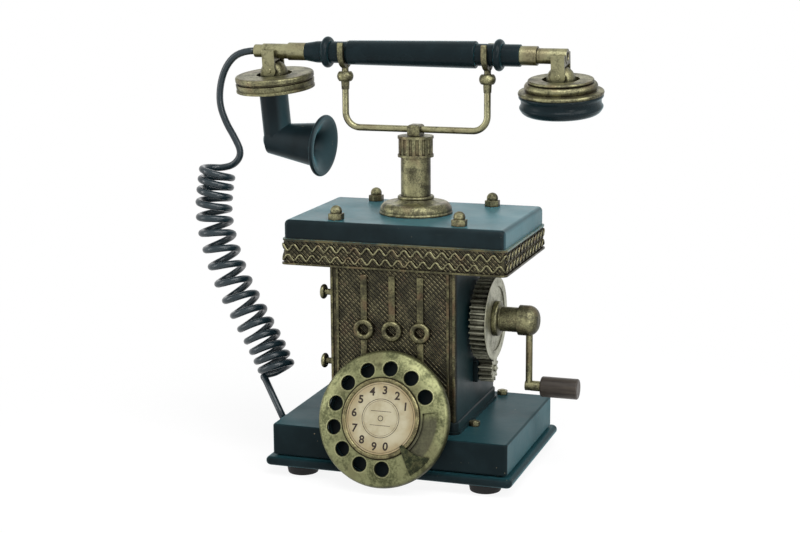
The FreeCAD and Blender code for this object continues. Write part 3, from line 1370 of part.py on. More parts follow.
def main():
    base = base_casing()
    node("base_casing", base)
    node("bottom_plate", bottom_plate())
    node("rubber_feet", group([rubber_foot(x, y) for x, y in foot_places()]))
    node("foot_screws", group([foot_screw(x, y) for x, y in foot_places()]))
    node("base_nuts", group([base_nut(x, y) for x, y in BASE_NUT_PLACES]))
    node("body_case", body_case())
    node("front_panel", front_panel())
    node("side_strips", group([side_strip(side * x) for side in (-1, 1) for x in STRIP_XS]))
    middle_bottom = RING_Z - RING_R + 1
    node("ring_bars", group([ring_bar(-BAR_X, SIDE_BAR_BOTTOM), ring_bar(0, middle_bottom),
                             ring_bar(BAR_X, SIDE_BAR_BOTTOM)]))
    node("thumb_screws", group([thumb_screw(z) for z in THUMB_ZS]))
    node("lid_frame", lid_frame())
    node("lid_lip", lid_lip())
    node("wave_wires", wave_wires())
    node("lid_top", lid_top())
    node("acorn_nuts", group([acorn_nut(sx * NUT_X, sy * NUT_Y) for sx in (-1, 1) for sy in (-1, 1)]))
    node("column_base", column_base())
    node("column_tube", column_tube())
    node("fluted_collar", fluted_collar())
    node("cradle_rod", cradle_rod())
    node("saddle_block", saddle_block())
    node("left_fork", fork(-ROD_X))
    node("right_fork", fork(ROD_X))
    node("handle_core", handle_core())
    node("grip_sleeve", grip_sleeve())
    node("dark_collars", dark_collars())
    node("bead_rings", group([bead_ring(x) for x in BEAD_XS]))
    node("ferrules", ferrules())
    node("transmitter_clevis", transmitter_clevis())
    node("receiver_clevis", receiver_clevis())
    node("transmitter_cup", transmitter_cup())
    node("mouthpiece", mouthpiece())
    node("carbon_capsule", carbon_capsule())
    node("receiver_shell", receiver_shell())
    node("ear_cap", ear_cap())
    node("receiver_magnet", receiver_magnet())
    node("crank_gear", crank_gear())
    node("crank_shaft", crank_shaft())
    node("crank_hub", crank_hub())
    node("crank_arm", crank_arm())
    node("crank_grip", crank_grip())
    node("shaft_bush", shaft_bush())
    node("pinion_bearing", pinion_bearing())
    node("pinion", pinion())
    node("armature", armature())
    node("magneto_magnets", magneto_magnets())
    node("magneto_frame", magneto_frame())
    node("gongs", group([gong(side * GONG_X) for side in (-1, 1)]))
    node("ringer_coils", ringer_coils())
    node("ringer_hammer", ringer_hammer())
    node("induction_coil", induction_coil())
    node("hook_switch", hook_switch())
    node("finger_wheel", finger_wheel())
    node("dial_case", dial_case())
    node("number_card", number_card())
    node("card_bezel", card_bezel())
    node("finger_stop", finger_stop())
    lead_edges, lead_radii, coil_edges, leave = cord_pieces()
    node("cord_lead", tube(lead_edges, CORD_R))
    print("lead radii", [round(r, 1) for r in lead_radii])
    coil = node("curly_cord", tube(coil_edges, CORD_R))
    coil_length = sum(e.Length for e in coil_edges)
    print("coil tube", round(coil_length, 1), "mm, volume share",
          round(coil.Volume / (math.pi * CORD_R ** 2 * coil_length), 4))
    print("least coil gap", round(least_gap(coil_edges, CORD_R), 2), "mm")
    print("tail starts at", leave)
    node("cord_tail", cord_tail(leave))
    total = sum(e.Length for e in lead_edges + coil_edges) + (V(*TAIL_END) - leave).Length
    print("cord length", round(total, 1), "mm")
    node("cord_grommet", cord_grommet())


main()
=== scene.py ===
# %% [markdown]
# # Antique desk telephone with a hand crank
#
# The telephone is a small ornament about a quarter of a metre tall: dark blue-green
# enamel on sheet metal, antique brass fittings, a curly cord and a brown turned grip.
# The engineered model comes first as a fixed frame. Everything below either paints a
# piece of that frame or builds the finer piece that stands in its place.

# %% Load the frame
import math

import bmesh
import bpy
import numpy as np
from mathutils import Matrix, Vector
from mathutils.bvhtree import BVHTree


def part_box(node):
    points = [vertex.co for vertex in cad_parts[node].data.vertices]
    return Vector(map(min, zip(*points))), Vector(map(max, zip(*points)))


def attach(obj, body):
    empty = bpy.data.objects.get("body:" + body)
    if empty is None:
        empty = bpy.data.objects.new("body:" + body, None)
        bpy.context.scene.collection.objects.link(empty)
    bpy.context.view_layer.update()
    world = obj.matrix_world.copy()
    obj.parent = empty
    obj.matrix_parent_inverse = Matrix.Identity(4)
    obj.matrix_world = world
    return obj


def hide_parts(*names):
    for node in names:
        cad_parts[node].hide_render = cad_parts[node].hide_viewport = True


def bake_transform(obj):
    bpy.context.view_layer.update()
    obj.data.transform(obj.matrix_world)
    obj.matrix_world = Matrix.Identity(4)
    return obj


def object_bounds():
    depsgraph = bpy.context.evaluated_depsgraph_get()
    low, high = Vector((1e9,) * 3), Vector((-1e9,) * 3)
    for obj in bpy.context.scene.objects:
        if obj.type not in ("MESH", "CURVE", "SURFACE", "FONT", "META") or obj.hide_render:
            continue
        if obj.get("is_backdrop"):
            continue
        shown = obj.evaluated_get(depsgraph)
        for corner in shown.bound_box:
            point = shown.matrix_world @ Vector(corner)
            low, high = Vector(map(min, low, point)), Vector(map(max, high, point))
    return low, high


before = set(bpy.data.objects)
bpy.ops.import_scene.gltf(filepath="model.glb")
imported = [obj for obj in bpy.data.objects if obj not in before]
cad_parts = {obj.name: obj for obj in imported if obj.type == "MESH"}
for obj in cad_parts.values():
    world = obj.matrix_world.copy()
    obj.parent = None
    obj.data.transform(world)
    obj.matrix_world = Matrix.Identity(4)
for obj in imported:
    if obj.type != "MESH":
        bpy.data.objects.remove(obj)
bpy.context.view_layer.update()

# %% [markdown]
# ## Camera
#
# The photograph looks down on the telephone from its front right corner, through a
# fairly long lens. A camera is an object that looks along its own -Z, so a track
# quaternion aims it, and a last small turn about that line gives the slight roll.

# %% Camera
CAMERA_PLACE = Vector((0.2974, -0.9173, 0.3132))
CAMERA_YAW = math.radians(18.531)
CAMERA_PITCH = math.radians(11.507)
CAMERA_ROLL = math.radians(-0.36)


def make_camera():
    data = bpy.data.cameras.new("photo_camera")
    data.sensor_width = 36.0
    data.lens = 75.215
    data.clip_start = 0.02
    data.clip_end = 20.0
    camera = bpy.data.objects.new("photo_camera", data)
    bpy.context.scene.collection.objects.link(camera)
    ahead = Vector((-math.sin(CAMERA_YAW) * math.cos(CAMERA_PITCH),
                    math.cos(CAMERA_YAW) * math.cos(CAMERA_PITCH),
                    -math.sin(CAMERA_PITCH)))
    aim = ahead.to_track_quat("-Z", "Y").to_matrix()
    roll = Matrix.Rotation(-CAMERA_ROLL, 3, ahead)
    camera.matrix_world = Matrix.Translation(CAMERA_PLACE) @ (roll @ aim).to_4x4()
    bpy.context.scene.camera = camera


make_camera()
bpy.context.scene.view_settings.view_transform = "Standard"

# %% [markdown]
# ## Shader maths as Python
#
# A material is a graph of nodes. Written out link by link it is long and hard to read,
# so one small class wraps a socket and lets ordinary arithmetic add Math nodes, and one
# method makes any other node from its type, its settings and its sockets.


# %% Sockets that can be added and multiplied
class Wire:
    """An output socket. Arithmetic on it adds Math nodes to its material."""

    def __init__(self, paint, socket):
        self.paint = paint
        self.socket = socket

    def math(self, operation, *values):
        return self.paint.add("ShaderNodeMath", {"operation": operation}, *values)

    def __add__(self, other):
        return self.math("ADD", self, other)

    def __sub__(self, other):
        return self.math("SUBTRACT", self, other)

    def __mul__(self, other):
        return self.math("MULTIPLY", self, other)

    def __pow__(self, other):
        return self.math("POWER", self, other)

    __radd__ = __add__
    __rmul__ = __mul__

    def sin(self):
        return self.math("SINE", self)

    def beside(self, name):
        """Another output of the same node."""
        return Wire(self.paint, self.socket.node.outputs[name])

    def ramp(self, low, high, start=0.0, end=1.0):
        """A smooth step from start to end as this value goes from low to high."""
        return self.paint.add("ShaderNodeMapRange", {"interpolation_type": "SMOOTHSTEP"},
                              self, low, high, start, end)


class Paint:
    """A material under construction."""

    def __init__(self, name):
        self.material = bpy.data.materials.new(name)
        self.material.use_nodes = True
        self.tree = self.material.node_tree
        self.tree.nodes.clear()
        self.surface = self.tree.nodes.new("ShaderNodeOutputMaterial")
        self.place = self.add("ShaderNodeTexCoord", output="Object")

    def feed(self, socket, value):
        if isinstance(value, Wire):
            self.tree.links.new(value.socket, socket)
        elif isinstance(value, (tuple, list)) and len(value) == 3 and socket.type == "RGBA":
            socket.default_value = (*value, 1.0)
        else:
            socket.default_value = value

    def add(self, kind, settings=None, *values, output=0, sockets=None):
        node = self.tree.nodes.new(kind)
        for name, value in (settings or {}).items():
            if name == "stops":
                self.set_stops(node.color_ramp, value)
            else:
                setattr(node, name, value)
        for socket, value in zip(node.inputs, values):
            self.feed(socket, value)
        for name, value in (sockets or {}).items():
            self.feed(node.inputs[name], value)
        return Wire(self, node.outputs[output])

    def set_stops(self, ramp, stops):
        while len(ramp.elements) < len(stops):
            ramp.elements.new(0.5)
        for element, (at, colour) in zip(ramp.elements, stops):
            element.position = at
            element.color = (*colour, 1.0)

    def noise(self, size, detail=3.0, roughness=0.55, place=None):
        """Cloudy value from 0 to 1 whose patches are about size metres across."""
        return self.add("ShaderNodeTexNoise", {"noise_dimensions": "3D"}, sockets={
            "Vector": place or self.place, "Scale": 1.0 / size, "Detail": detail,
            "Roughness": roughness})

    def mix(self, share, first, second):
        """Colour between first and second."""
        node = self.tree.nodes.new("ShaderNodeMix")
        node.data_type = "RGBA"
        colours = [s for s in node.inputs if s.type == "RGBA"]
        self.feed(node.inputs["Factor"], share)
        self.feed(colours[0], first)
        self.feed(colours[1], second)
        return Wire(self, [s for s in node.outputs if s.type == "RGBA"][0])

    def stretch(self, factors):
        """Coordinates drawn out along an axis whose factor is below 1."""
        return self.add("ShaderNodeVectorMath", {"operation": "MULTIPLY"}, self.place, factors)

    def either(self, first, second):
        """The larger of two values."""
        return self.add("ShaderNodeMath", {"operation": "MAXIMUM"}, first, second)

    def axis(self, index):
        """One coordinate of the surface, in metres."""
        return self.add("ShaderNodeSeparateXYZ", None, self.place, output=index)

    def crevice(self, reach):
        """1 in the open, towards 0 in corners and grooves narrower than reach metres."""
        return self.add("ShaderNodeAmbientOcclusion", {"samples": 6}, output="AO",
                        sockets={"Distance": reach})

    def dot(self, vector, way):
        """How far a vector reaches along a fixed way."""
        return self.add("ShaderNodeVectorMath", {"operation": "DOT_PRODUCT"}, vector, way, output="Value")

    def facing(self, way):
        """1 where the surface looks this way in its object's own frame, -1 where it looks away."""
        return self.dot(self.add("ShaderNodeTexCoord", output="Normal"), Vector(way).normalized())

    def dim(self, colour, share):
        """The colour times a factor."""
        return self.add("ShaderNodeVectorMath", {"operation": "SCALE"}, colour, sockets={"Scale": share})

    def bump(self, height, depth):
        return self.add("ShaderNodeBump", sockets={"Height": height, "Distance": depth})

    def finish(self, **sockets):
        titles = {name.replace("_", " ").title(): value for name, value in sockets.items()}
        if "Ior" in titles:
            titles["IOR"] = titles.pop("Ior")
        shader = self.add("ShaderNodeBsdfPrincipled", sockets=titles)
        self.tree.links.new(shader.socket, self.surface.inputs["Surface"])
        return self.material


print("shader helpers ready")

# %% [markdown]
# ## Room, floor and light
#
# The photograph is a cut-out on pure white, lit softly from above, the front and the
# right. The world lights the object at a plain level, but a ray that comes straight
# from the camera or off a shiny surface sees it white. Five soft area lamps add the
# highlights. The floor is white and still keeps a faint contact shadow, which fades out
# a hand's width from the object.

# %% World and lamps
WORLD_LIGHT = 0.33


def light_world():
    world = bpy.data.worlds.new("white_room")
    bpy.context.scene.world = world
    world.use_nodes = True
    tree = world.node_tree
    tree.nodes.clear()
    out = tree.nodes.new("ShaderNodeOutputWorld")
    path = tree.nodes.new("ShaderNodeLightPath")
    mix = tree.nodes.new("ShaderNodeMixShader")
    tree.links.new(mix.outputs[0], out.inputs["Surface"])
    seen = path.outputs["Is Camera Ray"]
    for ray in ("Is Glossy Ray", "Is Transmission Ray"):
        larger = tree.nodes.new("ShaderNodeMath")
        larger.operation = "MAXIMUM"
        tree.links.new(seen, larger.inputs[0])
        tree.links.new(path.outputs[ray], larger.inputs[1])
        seen = larger.outputs[0]
    tree.links.new(seen, mix.inputs["Fac"])
    for slot, strength in ((1, WORLD_LIGHT), (2, 1.0)):
        sky = tree.nodes.new("ShaderNodeBackground")
        sky.inputs["Color"].default_value = (1.0, 1.0, 1.0, 1.0)
        sky.inputs["Strength"].default_value = strength
        tree.links.new(sky.outputs[0], mix.inputs[slot])


def soft_box(name, place, aim, size, power):
    data = bpy.data.lights.new(name, "AREA")
    data.shape = "RECTANGLE"
    data.size, data.size_y = size
    data.energy = power
    lamp = bpy.data.objects.new(name, data)
    bpy.context.scene.collection.objects.link(lamp)
    turn = (Vector(aim) - Vector(place)).to_track_quat("-Z", "Y")
    lamp.matrix_world = Matrix.Translation(place) @ turn.to_matrix().to_4x4()


LAMPS = (
    ("key_above", (0.25, -0.55, 1.05), 0.12, (0.7, 0.7), 7.0),
    ("side_right", (0.95, -0.30, 0.75), 0.12, (0.5, 0.8), 5.0),
    ("streak_left", (-0.95, -0.5, 0.35), 0.12, (0.22, 0.7), 2.6),
    ("streak_right", (0.85, -0.9, 0.3), 0.12, (0.12, 0.6), 2.4),
    ("glow_behind", (-0.45, 1.3, 0.45), 0.15, (0.7, 0.35), 0.5),
)
light_world()
for name, place, aim_height, size, power in LAMPS:
    soft_box(name, place, (0, 0, aim_height), size, power)


# %% Floor
FLOOR_REACH = 3.0
SHADOW_FADE = (0.14, 0.34)
WHITE = (1.0, 1.0, 1.0)
BLACK = (0.0, 0.0, 0.0)


def make_floor():
    mesh = bpy.data.meshes.new("floor")
    corners = [(x * FLOOR_REACH, y * FLOOR_REACH, 0) for x, y in ((-1, -1), (1, -1), (1, 1), (-1, 1))]
    mesh.from_pydata(corners, [], [(0, 1, 2, 3)])
    floor = bpy.data.objects.new("floor", mesh)
    bpy.context.scene.collection.objects.link(floor)
    paint = Paint("white_floor")
    from_camera = paint.add("ShaderNodeLightPath", output="Is Camera Ray")
    off_gloss = from_camera.beside("Is Glossy Ray")
    through = from_camera.beside("Is Transmission Ray")
    seen = paint.either(paint.either(from_camera, off_gloss), through)
    away = paint.add("ShaderNodeVectorMath", {"operation": "LENGTH"}, paint.place, output="Value")
    far_off = away.ramp(*SHADOW_FADE)
    plain = paint.add("ShaderNodeBsdfDiffuse", None, (0.85, 0.85, 0.85))
    glow = paint.add("ShaderNodeEmission", None, paint.mix(far_off, (0.88, 0.88, 0.88), WHITE), 1.0)
    shaded = paint.add("ShaderNodeBsdfDiffuse", None, paint.mix(far_off, (0.16, 0.16, 0.16), BLACK))
    lit = paint.add("ShaderNodeAddShader", None, shaded, glow)
    both = paint.add("ShaderNodeMixShader", None, seen, plain, lit)
    paint.tree.links.new(both.socket, paint.surface.inputs["Surface"])
    mesh.materials.append(paint.material)
    floor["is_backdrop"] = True


make_floor()

# %% [markdown]
# ## Enamel and brass
#
# The enamel is nearly black with a blue-green cast. Faces that point at the viewer stay
# black, while tops and sides that are seen at a low angle turn to a grey teal. A low
# index of refraction keeps the straight-on mirror image weak and the grazing one
# strong, and a little teal sheen colours it. A painted reflection, grey teal added to
# the colour, lightens the lid's top and its right side, most at the back right corner,
# the plinth's tops a little and the face of the horn. The enamel's corners are painted
# darker, a painted shade. The brass is the "antique" kind: dark patina rubbed back to a
# yellow-olive metal on whatever stands proud, with brown left in the corners, and each
# piece is painted lighter on faces that look one way, up and forwards for most, and
# darker on the others, a painted light and shade. Cloud noise makes the patches, a finer
# noise the specks, and an ambient occlusion node finds the corners.


# %% Enamel
SLAB_TOP = 0.1490
LIP_TOP = 0.1382


def reflection_on_tops(paint):
    """Where the painted reflection goes: on every face that looks up."""
    return paint.facing((0, 0, 1)).ramp(0.55, 0.95)


def reflection_on_lid(paint):
    """Where the painted reflection goes on the lid's slab: its right face, and its top more towards the
    back right corner.
    """
    top = reflection_on_tops(paint) * paint.axis(2).ramp(SLAB_TOP - 0.0020, SLAB_TOP - 0.0004)
    top = top * (paint.axis(0) * 0.4 + paint.axis(1)).ramp(-0.050, 0.055, 0.02, 1.45)
    return top + paint.facing((1, 0, 0)).ramp(0.60, 0.95, 0.0, 1.1)


def on_lip(paint):
    """The low lip round the foot of the lid's slab, where old gilding shows in patches."""
    return paint.axis(2).ramp(LIP_TOP + 0.0004, LIP_TOP) * paint.noise(0.012).ramp(0.35, 0.60, 0.25, 1.0)


def reflection_in_horn(paint):
    """Where the painted reflection goes on the horn: its face, which looks along the telephone's width."""
    return paint.facing((0.95, -0.2, 0.1)).ramp(0.55, 0.95)


def times(colour, factor):
    return tuple(c * factor for c in colour)


def dark_enamel(name, colour, roughness, chips=0.0, sheen=0.5, ior=1.2,
                painted_reflection=BLACK, where=reflection_on_tops, gilt=None):
    """Enamel with a painted reflection where one function says, gilding where another does, and painted
    shade in its corners.
    """
    paint = Paint(name)
    cloud = paint.noise(0.022)
    corner = paint.crevice(0.004)
    dusty = paint.mix(cloud.ramp(0.35, 0.75), colour, times(colour, 1.7))
    # Painted shade: the enamel is darker in its corners and grooves, where the ambient occlusion node finds
    # them.
    wear_and_painted_light = paint.mix(corner.ramp(0.35, 0.8), times(colour, 0.45), dusty)
    smear = paint.noise(0.009, 4.0, place=paint.stretch((0.25, 1.0, 1.0)))
    wear_and_painted_light = paint.mix(smear.ramp(0.62, 0.78, 0.0, 0.35), wear_and_painted_light, (0.030, 0.045, 0.040))
    # Painted reflection: grey teal added to the colour on the faces that one function picks.
    reflection_layer = paint.dim(painted_reflection, where(paint))
    wear_and_painted_light = paint.add("ShaderNodeVectorMath", {"operation": "ADD"}, wear_and_painted_light, reflection_layer)
    if gilt:
        wear_and_painted_light = paint.mix(gilt(paint), wear_and_painted_light, (0.115, 0.100, 0.050))
    if chips:
        chip = paint.noise(0.0016, 1.0).ramp(0.80 - chips, 0.83 - chips)
        wear_and_painted_light = paint.mix(chip * paint.noise(0.03).ramp(0.5, 0.6), wear_and_painted_light, (0.20, 0.17, 0.11))
    peel = paint.bump(paint.noise(0.0035, 1.0) * 0.7 + paint.noise(0.0012, 2.0) * 0.3, 0.00005)
    return paint.finish(base_color=wear_and_painted_light, ior=ior, sheen_weight=sheen, sheen_roughness=0.3,
                        sheen_tint=(0.22, 0.85, 1.0, 1.0),
                        roughness=cloud.ramp(0.3, 0.8, roughness, roughness + 0.12), normal=peel)


ENAMEL = (0.0065, 0.0125, 0.0145)
# The lid's top and right side get the strongest painted reflection, the plinth a faint one.
enamel = dark_enamel("dark_enamel", ENAMEL, 0.30, chips=0.05, painted_reflection=(0.028, 0.060, 0.070), where=reflection_on_lid,
                     gilt=on_lip)
plinth_enamel = dark_enamel("plinth_enamel", ENAMEL, 0.34, chips=0.06, painted_reflection=(0.0, 0.010, 0.012), ior=1.14)
# A darker copy of the enamel, with less sheen: painted shade for the body, the dial's case and the pinion's
# bearing under the lid.
shaded_enamel = dark_enamel("shaded_body_enamel", (0.0045, 0.0085, 0.0095), 0.36, chips=0.04, sheen=0.12)
handle_enamel = dark_enamel("handle_enamel", (0.0055, 0.0115, 0.0140), 0.24, sheen=0.3)
# Painted reflection on the face of the horn.
grey_cap = dark_enamel("cap_enamel", (0.0065, 0.0120, 0.0145), 0.30, chips=0.05, sheen=0.35,
                       painted_reflection=(0.020, 0.042, 0.048), where=reflection_in_horn)


# %% Brass
def antique_brass(name, bright, dull, brown, rubbed=0.5, roughness=0.36, patch=0.006, rust=0.5,
                  side=(-0.35, -0.75, 0.55), extra=None):
    """Brass rubbed bright on open faces, painted lighter on faces that look towards side and darker on the
    others, and left brown in its corners.
    """
    paint = Paint(name)
    cloud = paint.noise(patch)
    speck = paint.noise(patch / 7, 2.0)
    blotch = cloud * 0.6 + speck * 0.4
    tone = paint.mix(blotch.ramp(rubbed - 0.13, rubbed + 0.13), dull, bright)
    reddish = paint.noise(patch * 2.0, 2.0).ramp(0.54, 0.68, 0.0, rust)
    tone = paint.mix(reddish, tone, brown)
    # Painted light and shade: faces that look towards side are lighter, the others darker.
    tone = paint.dim(tone, paint.facing(side).ramp(-0.35, 0.85, 0.42, 1.25))
    black = paint.noise(patch * 0.8, 3.0, place=paint.stretch((1.0, 1.0, 0.6))).ramp(0.60, 0.72, 0.0, 0.6)
    tone = paint.mix(black, tone, times(dull, 0.35))
    tone = paint.mix(paint.crevice(0.0022).ramp(0.30, 0.85), times(brown, 0.20), tone)
    if extra:
        tone = extra(paint, tone)
    dents = paint.bump(speck * 0.6 + cloud * 0.4, 0.00012)
    return paint.finish(base_color=tone, metallic=0.9,
                        roughness=blotch.ramp(0.35, 0.7, roughness + 0.14, roughness), normal=dents)


DIAL_CENTRE = (0.0, -0.0656, 0.0426)
DIAL_LEAN = math.radians(19)
GROOVE_R = 0.0226
FIELD_R = 0.0335


def wheel_groove_shade_and_field(paint, tone):
    """Painted shade of the groove round the bezel, a dark ring, and a greyer field between the stop and the
    first hole.
    """
    from_centre = paint.add("ShaderNodeVectorMath", {"operation": "SUBTRACT"}, paint.place, DIAL_CENTRE)
    right = paint.dot(from_centre, (1, 0, 0))
    up = paint.dot(from_centre, (0, math.sin(DIAL_LEAN), math.cos(DIAL_LEAN)))
    radius = (right * right + up * up) ** 0.5
    angle = up.math("ARCTAN2", up, right)
    # Painted shade: a dark ring on the wheel next to the groove round the bezel.
    tone = paint.mix(radius.ramp(GROOVE_R, GROOVE_R + 0.0016), (0.030, 0.024, 0.014), tone)
    field = angle.ramp(-1.00, -0.80) * angle.ramp(0.20, -0.02) * radius.ramp(FIELD_R, FIELD_R - 0.0017)
    return paint.mix(field * 0.72, tone, (0.058, 0.054, 0.040))


BROWN_PATINA = (0.085, 0.046, 0.030)
brass = antique_brass("antique_brass", (0.250, 0.240, 0.130), (0.070, 0.066, 0.040), BROWN_PATINA)
wheel_brass = antique_brass("wheel_brass", (0.175, 0.180, 0.090), (0.060, 0.064, 0.030),
                            (0.060, 0.044, 0.024), rubbed=0.46, roughness=0.38, patch=0.009, rust=0.3,
                            extra=wheel_groove_shade_and_field)
bezel_brass = antique_brass("bezel_brass", (0.21, 0.19, 0.095), (0.070, 0.060, 0.032),
                            (0.060, 0.040, 0.022), roughness=0.32)
dark_brass = antique_brass("dark_brass", (0.11, 0.100, 0.055), (0.032, 0.030, 0.019), (0.050, 0.026, 0.018),
                           rubbed=0.55, roughness=0.34, patch=0.005)
rod_brass = antique_brass("rod_brass", (0.255, 0.245, 0.140), (0.085, 0.080, 0.048), (0.085, 0.048, 0.030),
                          rubbed=0.44, roughness=0.28, patch=0.007, rust=0.35)
# The gear's painted light falls on its right front side.
gear_brass = antique_brass("gear_brass", (0.30, 0.30, 0.225), (0.110, 0.110, 0.078), (0.065, 0.046, 0.030),
                           rubbed=0.45, roughness=0.34, patch=0.008, rust=0.2, side=(0.7, -0.6, 0.3))
rim_brass = antique_brass("rim_brass", (0.34, 0.33, 0.19), (0.13, 0.125, 0.075), BROWN_PATINA, rubbed=0.40,
                          roughness=0.26, patch=0.004, rust=0.2)
stop_brass = antique_brass("stop_brass", (0.095, 0.098, 0.046), (0.016, 0.020, 0.010),
                           (0.030, 0.022, 0.012), rubbed=0.56, roughness=0.34, patch=0.003, rust=0.3)
wave_brass = antique_brass("wave_brass", (0.21, 0.20, 0.11), (0.060, 0.056, 0.034), BROWN_PATINA,
                           rubbed=0.48, roughness=0.28, patch=0.005, rust=0.6)
strip_brass = antique_brass("strip_brass", (0.165, 0.155, 0.080), (0.045, 0.042, 0.025), BROWN_PATINA,
                            rubbed=0.53, roughness=0.32, patch=0.006, rust=0.6)
print("finishes", enamel.name, brass.name)


# %% [markdown]
# ## Finishes of the smaller and hidden pieces
#
# The grip is turned from dark wood whose grain runs along it. The rubber feet, the
# printed card and the pieces inside, magnets, bells, coils and steel plates, each get
# their own finish too, since the bottom plate and the crank's gap let one look in.


# %% Wood, steel, rubber, card and windings
def turned_wood():
    paint = Paint("brown_wood")
    grain = paint.noise(0.0016, 4.0, place=paint.stretch((0.06, 1.0, 1.0)))
    cloud = paint.noise(0.012)
    tone = paint.mix(grain.ramp(0.3, 0.7), (0.018, 0.014, 0.011), (0.054, 0.044, 0.033))
    tone = paint.mix(cloud.ramp(0.4, 0.75, 0.0, 0.5), tone, (0.060, 0.048, 0.040))
    return paint.finish(base_color=tone, roughness=grain.ramp(0.3, 0.7, 0.48, 0.36), ior=1.35,
                        normal=paint.bump(grain, 0.00008))


def plain_metal(name, light, dark, roughness, brushed=WHITE):
    paint = Paint(name)
    cloud = paint.noise(0.007)
    lines = paint.noise(0.0009, 2.0, place=paint.stretch(brushed))
    tone = paint.mix(cloud * 0.5 + lines * 0.5, dark, light)
    # Painted shade: the metal is darker in its corners and grooves.
    tone = paint.mix(paint.crevice(0.003).ramp(0.3, 0.8), times(dark, 0.3), tone)
    return paint.finish(base_color=tone, metallic=0.9, normal=paint.bump(lines, 0.00003),
                        roughness=lines.ramp(0.3, 0.7, roughness, roughness + 0.12))


def soft_black(name, colour, roughness, ior=1.35):
    paint = Paint(name)
    cloud = paint.noise(0.01)
    grit = paint.noise(0.0008, 2.0)
    tone = paint.mix(cloud, colour, times(colour, 1.8))
    return paint.finish(base_color=tone, ior=ior, normal=paint.bump(grit, 0.00006),
                        roughness=grit.ramp(0.3, 0.7, roughness, roughness + 0.12))


COIL_WIRE = 0.0005
CARD_STAIN_R = 0.0128
CARD_EDGE_R = 0.0205


def copper_winding():
    paint = Paint("coil_copper")
    turns = (paint.axis(1) * (2 * math.pi / COIL_WIRE)).sin()
    cloud = paint.noise(0.006)
    tone = paint.mix(turns.ramp(-0.8, 0.4), (0.09, 0.03, 0.012), (0.42, 0.17, 0.07))
    tone = paint.mix(cloud.ramp(0.4, 0.8, 0.0, 0.5), tone, (0.16, 0.07, 0.03))
    return paint.finish(base_color=tone, metallic=0.7, roughness=cloud.ramp(0.3, 0.7, 0.34, 0.46),
                        normal=paint.bump(turns, 0.00008))


def yellowed_card():
    paint = Paint("parchment_card")
    radius = paint.add("ShaderNodeVectorMath", {"operation": "DISTANCE"}, paint.place, DIAL_CENTRE,
                       output="Value")
    edge = radius.ramp(CARD_STAIN_R, CARD_EDGE_R)
    cloud = paint.noise(0.008, 4.0)
    stain = paint.noise(0.0022, 3.0)
    tone = paint.mix(cloud.ramp(0.35, 0.7), (0.47, 0.43, 0.30), (0.37, 0.32, 0.20))
    tone = paint.mix(edge * cloud.ramp(0.2, 0.7, 0.5, 1.0), tone, (0.32, 0.25, 0.13))
    tone = paint.mix(stain.ramp(0.62, 0.8, 0.0, 0.4), tone, (0.34, 0.24, 0.11))
    return paint.finish(base_color=tone, roughness=cloud.ramp(0.3, 0.7, 0.42, 0.55), ior=1.35,
                        normal=paint.bump(stain, 0.00003))


wood = turned_wood()
steel = plain_metal("bare_steel", (0.42, 0.42, 0.41), (0.20, 0.20, 0.20), 0.34, brushed=(0.1, 1.0, 1.0))
magnet_steel = plain_metal("magnet_steel", (0.10, 0.10, 0.11), (0.035, 0.035, 0.04), 0.45)
bell_metal = plain_metal("bell_steel", (0.55, 0.53, 0.48), (0.30, 0.28, 0.24), 0.26)
copper = copper_winding()
rubber = soft_black("foot_rubber", (0.010, 0.010, 0.010), 0.6)
carbon = soft_black("carbon_black", (0.014, 0.014, 0.014), 0.5)
card = yellowed_card()
ink = soft_black("printing_ink", (0.020, 0.014, 0.010), 0.5)

# %% [markdown]
# ## Painting the frame
#
# The model's faces arrive as flat triangles. A Weld modifier joins them, Decimate in
# its planar mode clears the inner edges of flat faces, and a small Bevel on what is
# still sharp gives each edge the bright line that real metal has. Normals weighted by
# face area then keep large flat faces evenly shaded. The mesh itself is left as it is:
# modifiers only act on what is drawn.


# %% Modifiers for a model piece
WELD_REACH = 0.000002
BEVEL_ANGLE = math.radians(32.0)


def dress(name, material, bevel):
    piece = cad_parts[name]
    piece.data.materials.clear()
    piece.data.materials.append(material)
    piece.data.polygons.foreach_set("use_smooth", [True] * len(piece.data.polygons))
    weld = piece.modifiers.new("weld", "WELD")
    weld.merge_threshold = WELD_REACH
    flat = piece.modifiers.new("flat_faces", "DECIMATE")
    flat.decimate_type = "DISSOLVE"
    flat.angle_limit = math.radians(0.2)
    soft = piece.modifiers.new("edges", "BEVEL")
    soft.width = bevel
    soft.segments = 2
    soft.limit_method = "ANGLE"
    soft.angle_limit = BEVEL_ANGLE
    soft.harden_normals = True
    soft.use_clamp_overlap = True
    even = piece.modifiers.new("even_shading", "WEIGHTED_NORMAL")
    even.keep_sharp = True
    even.weight = 80


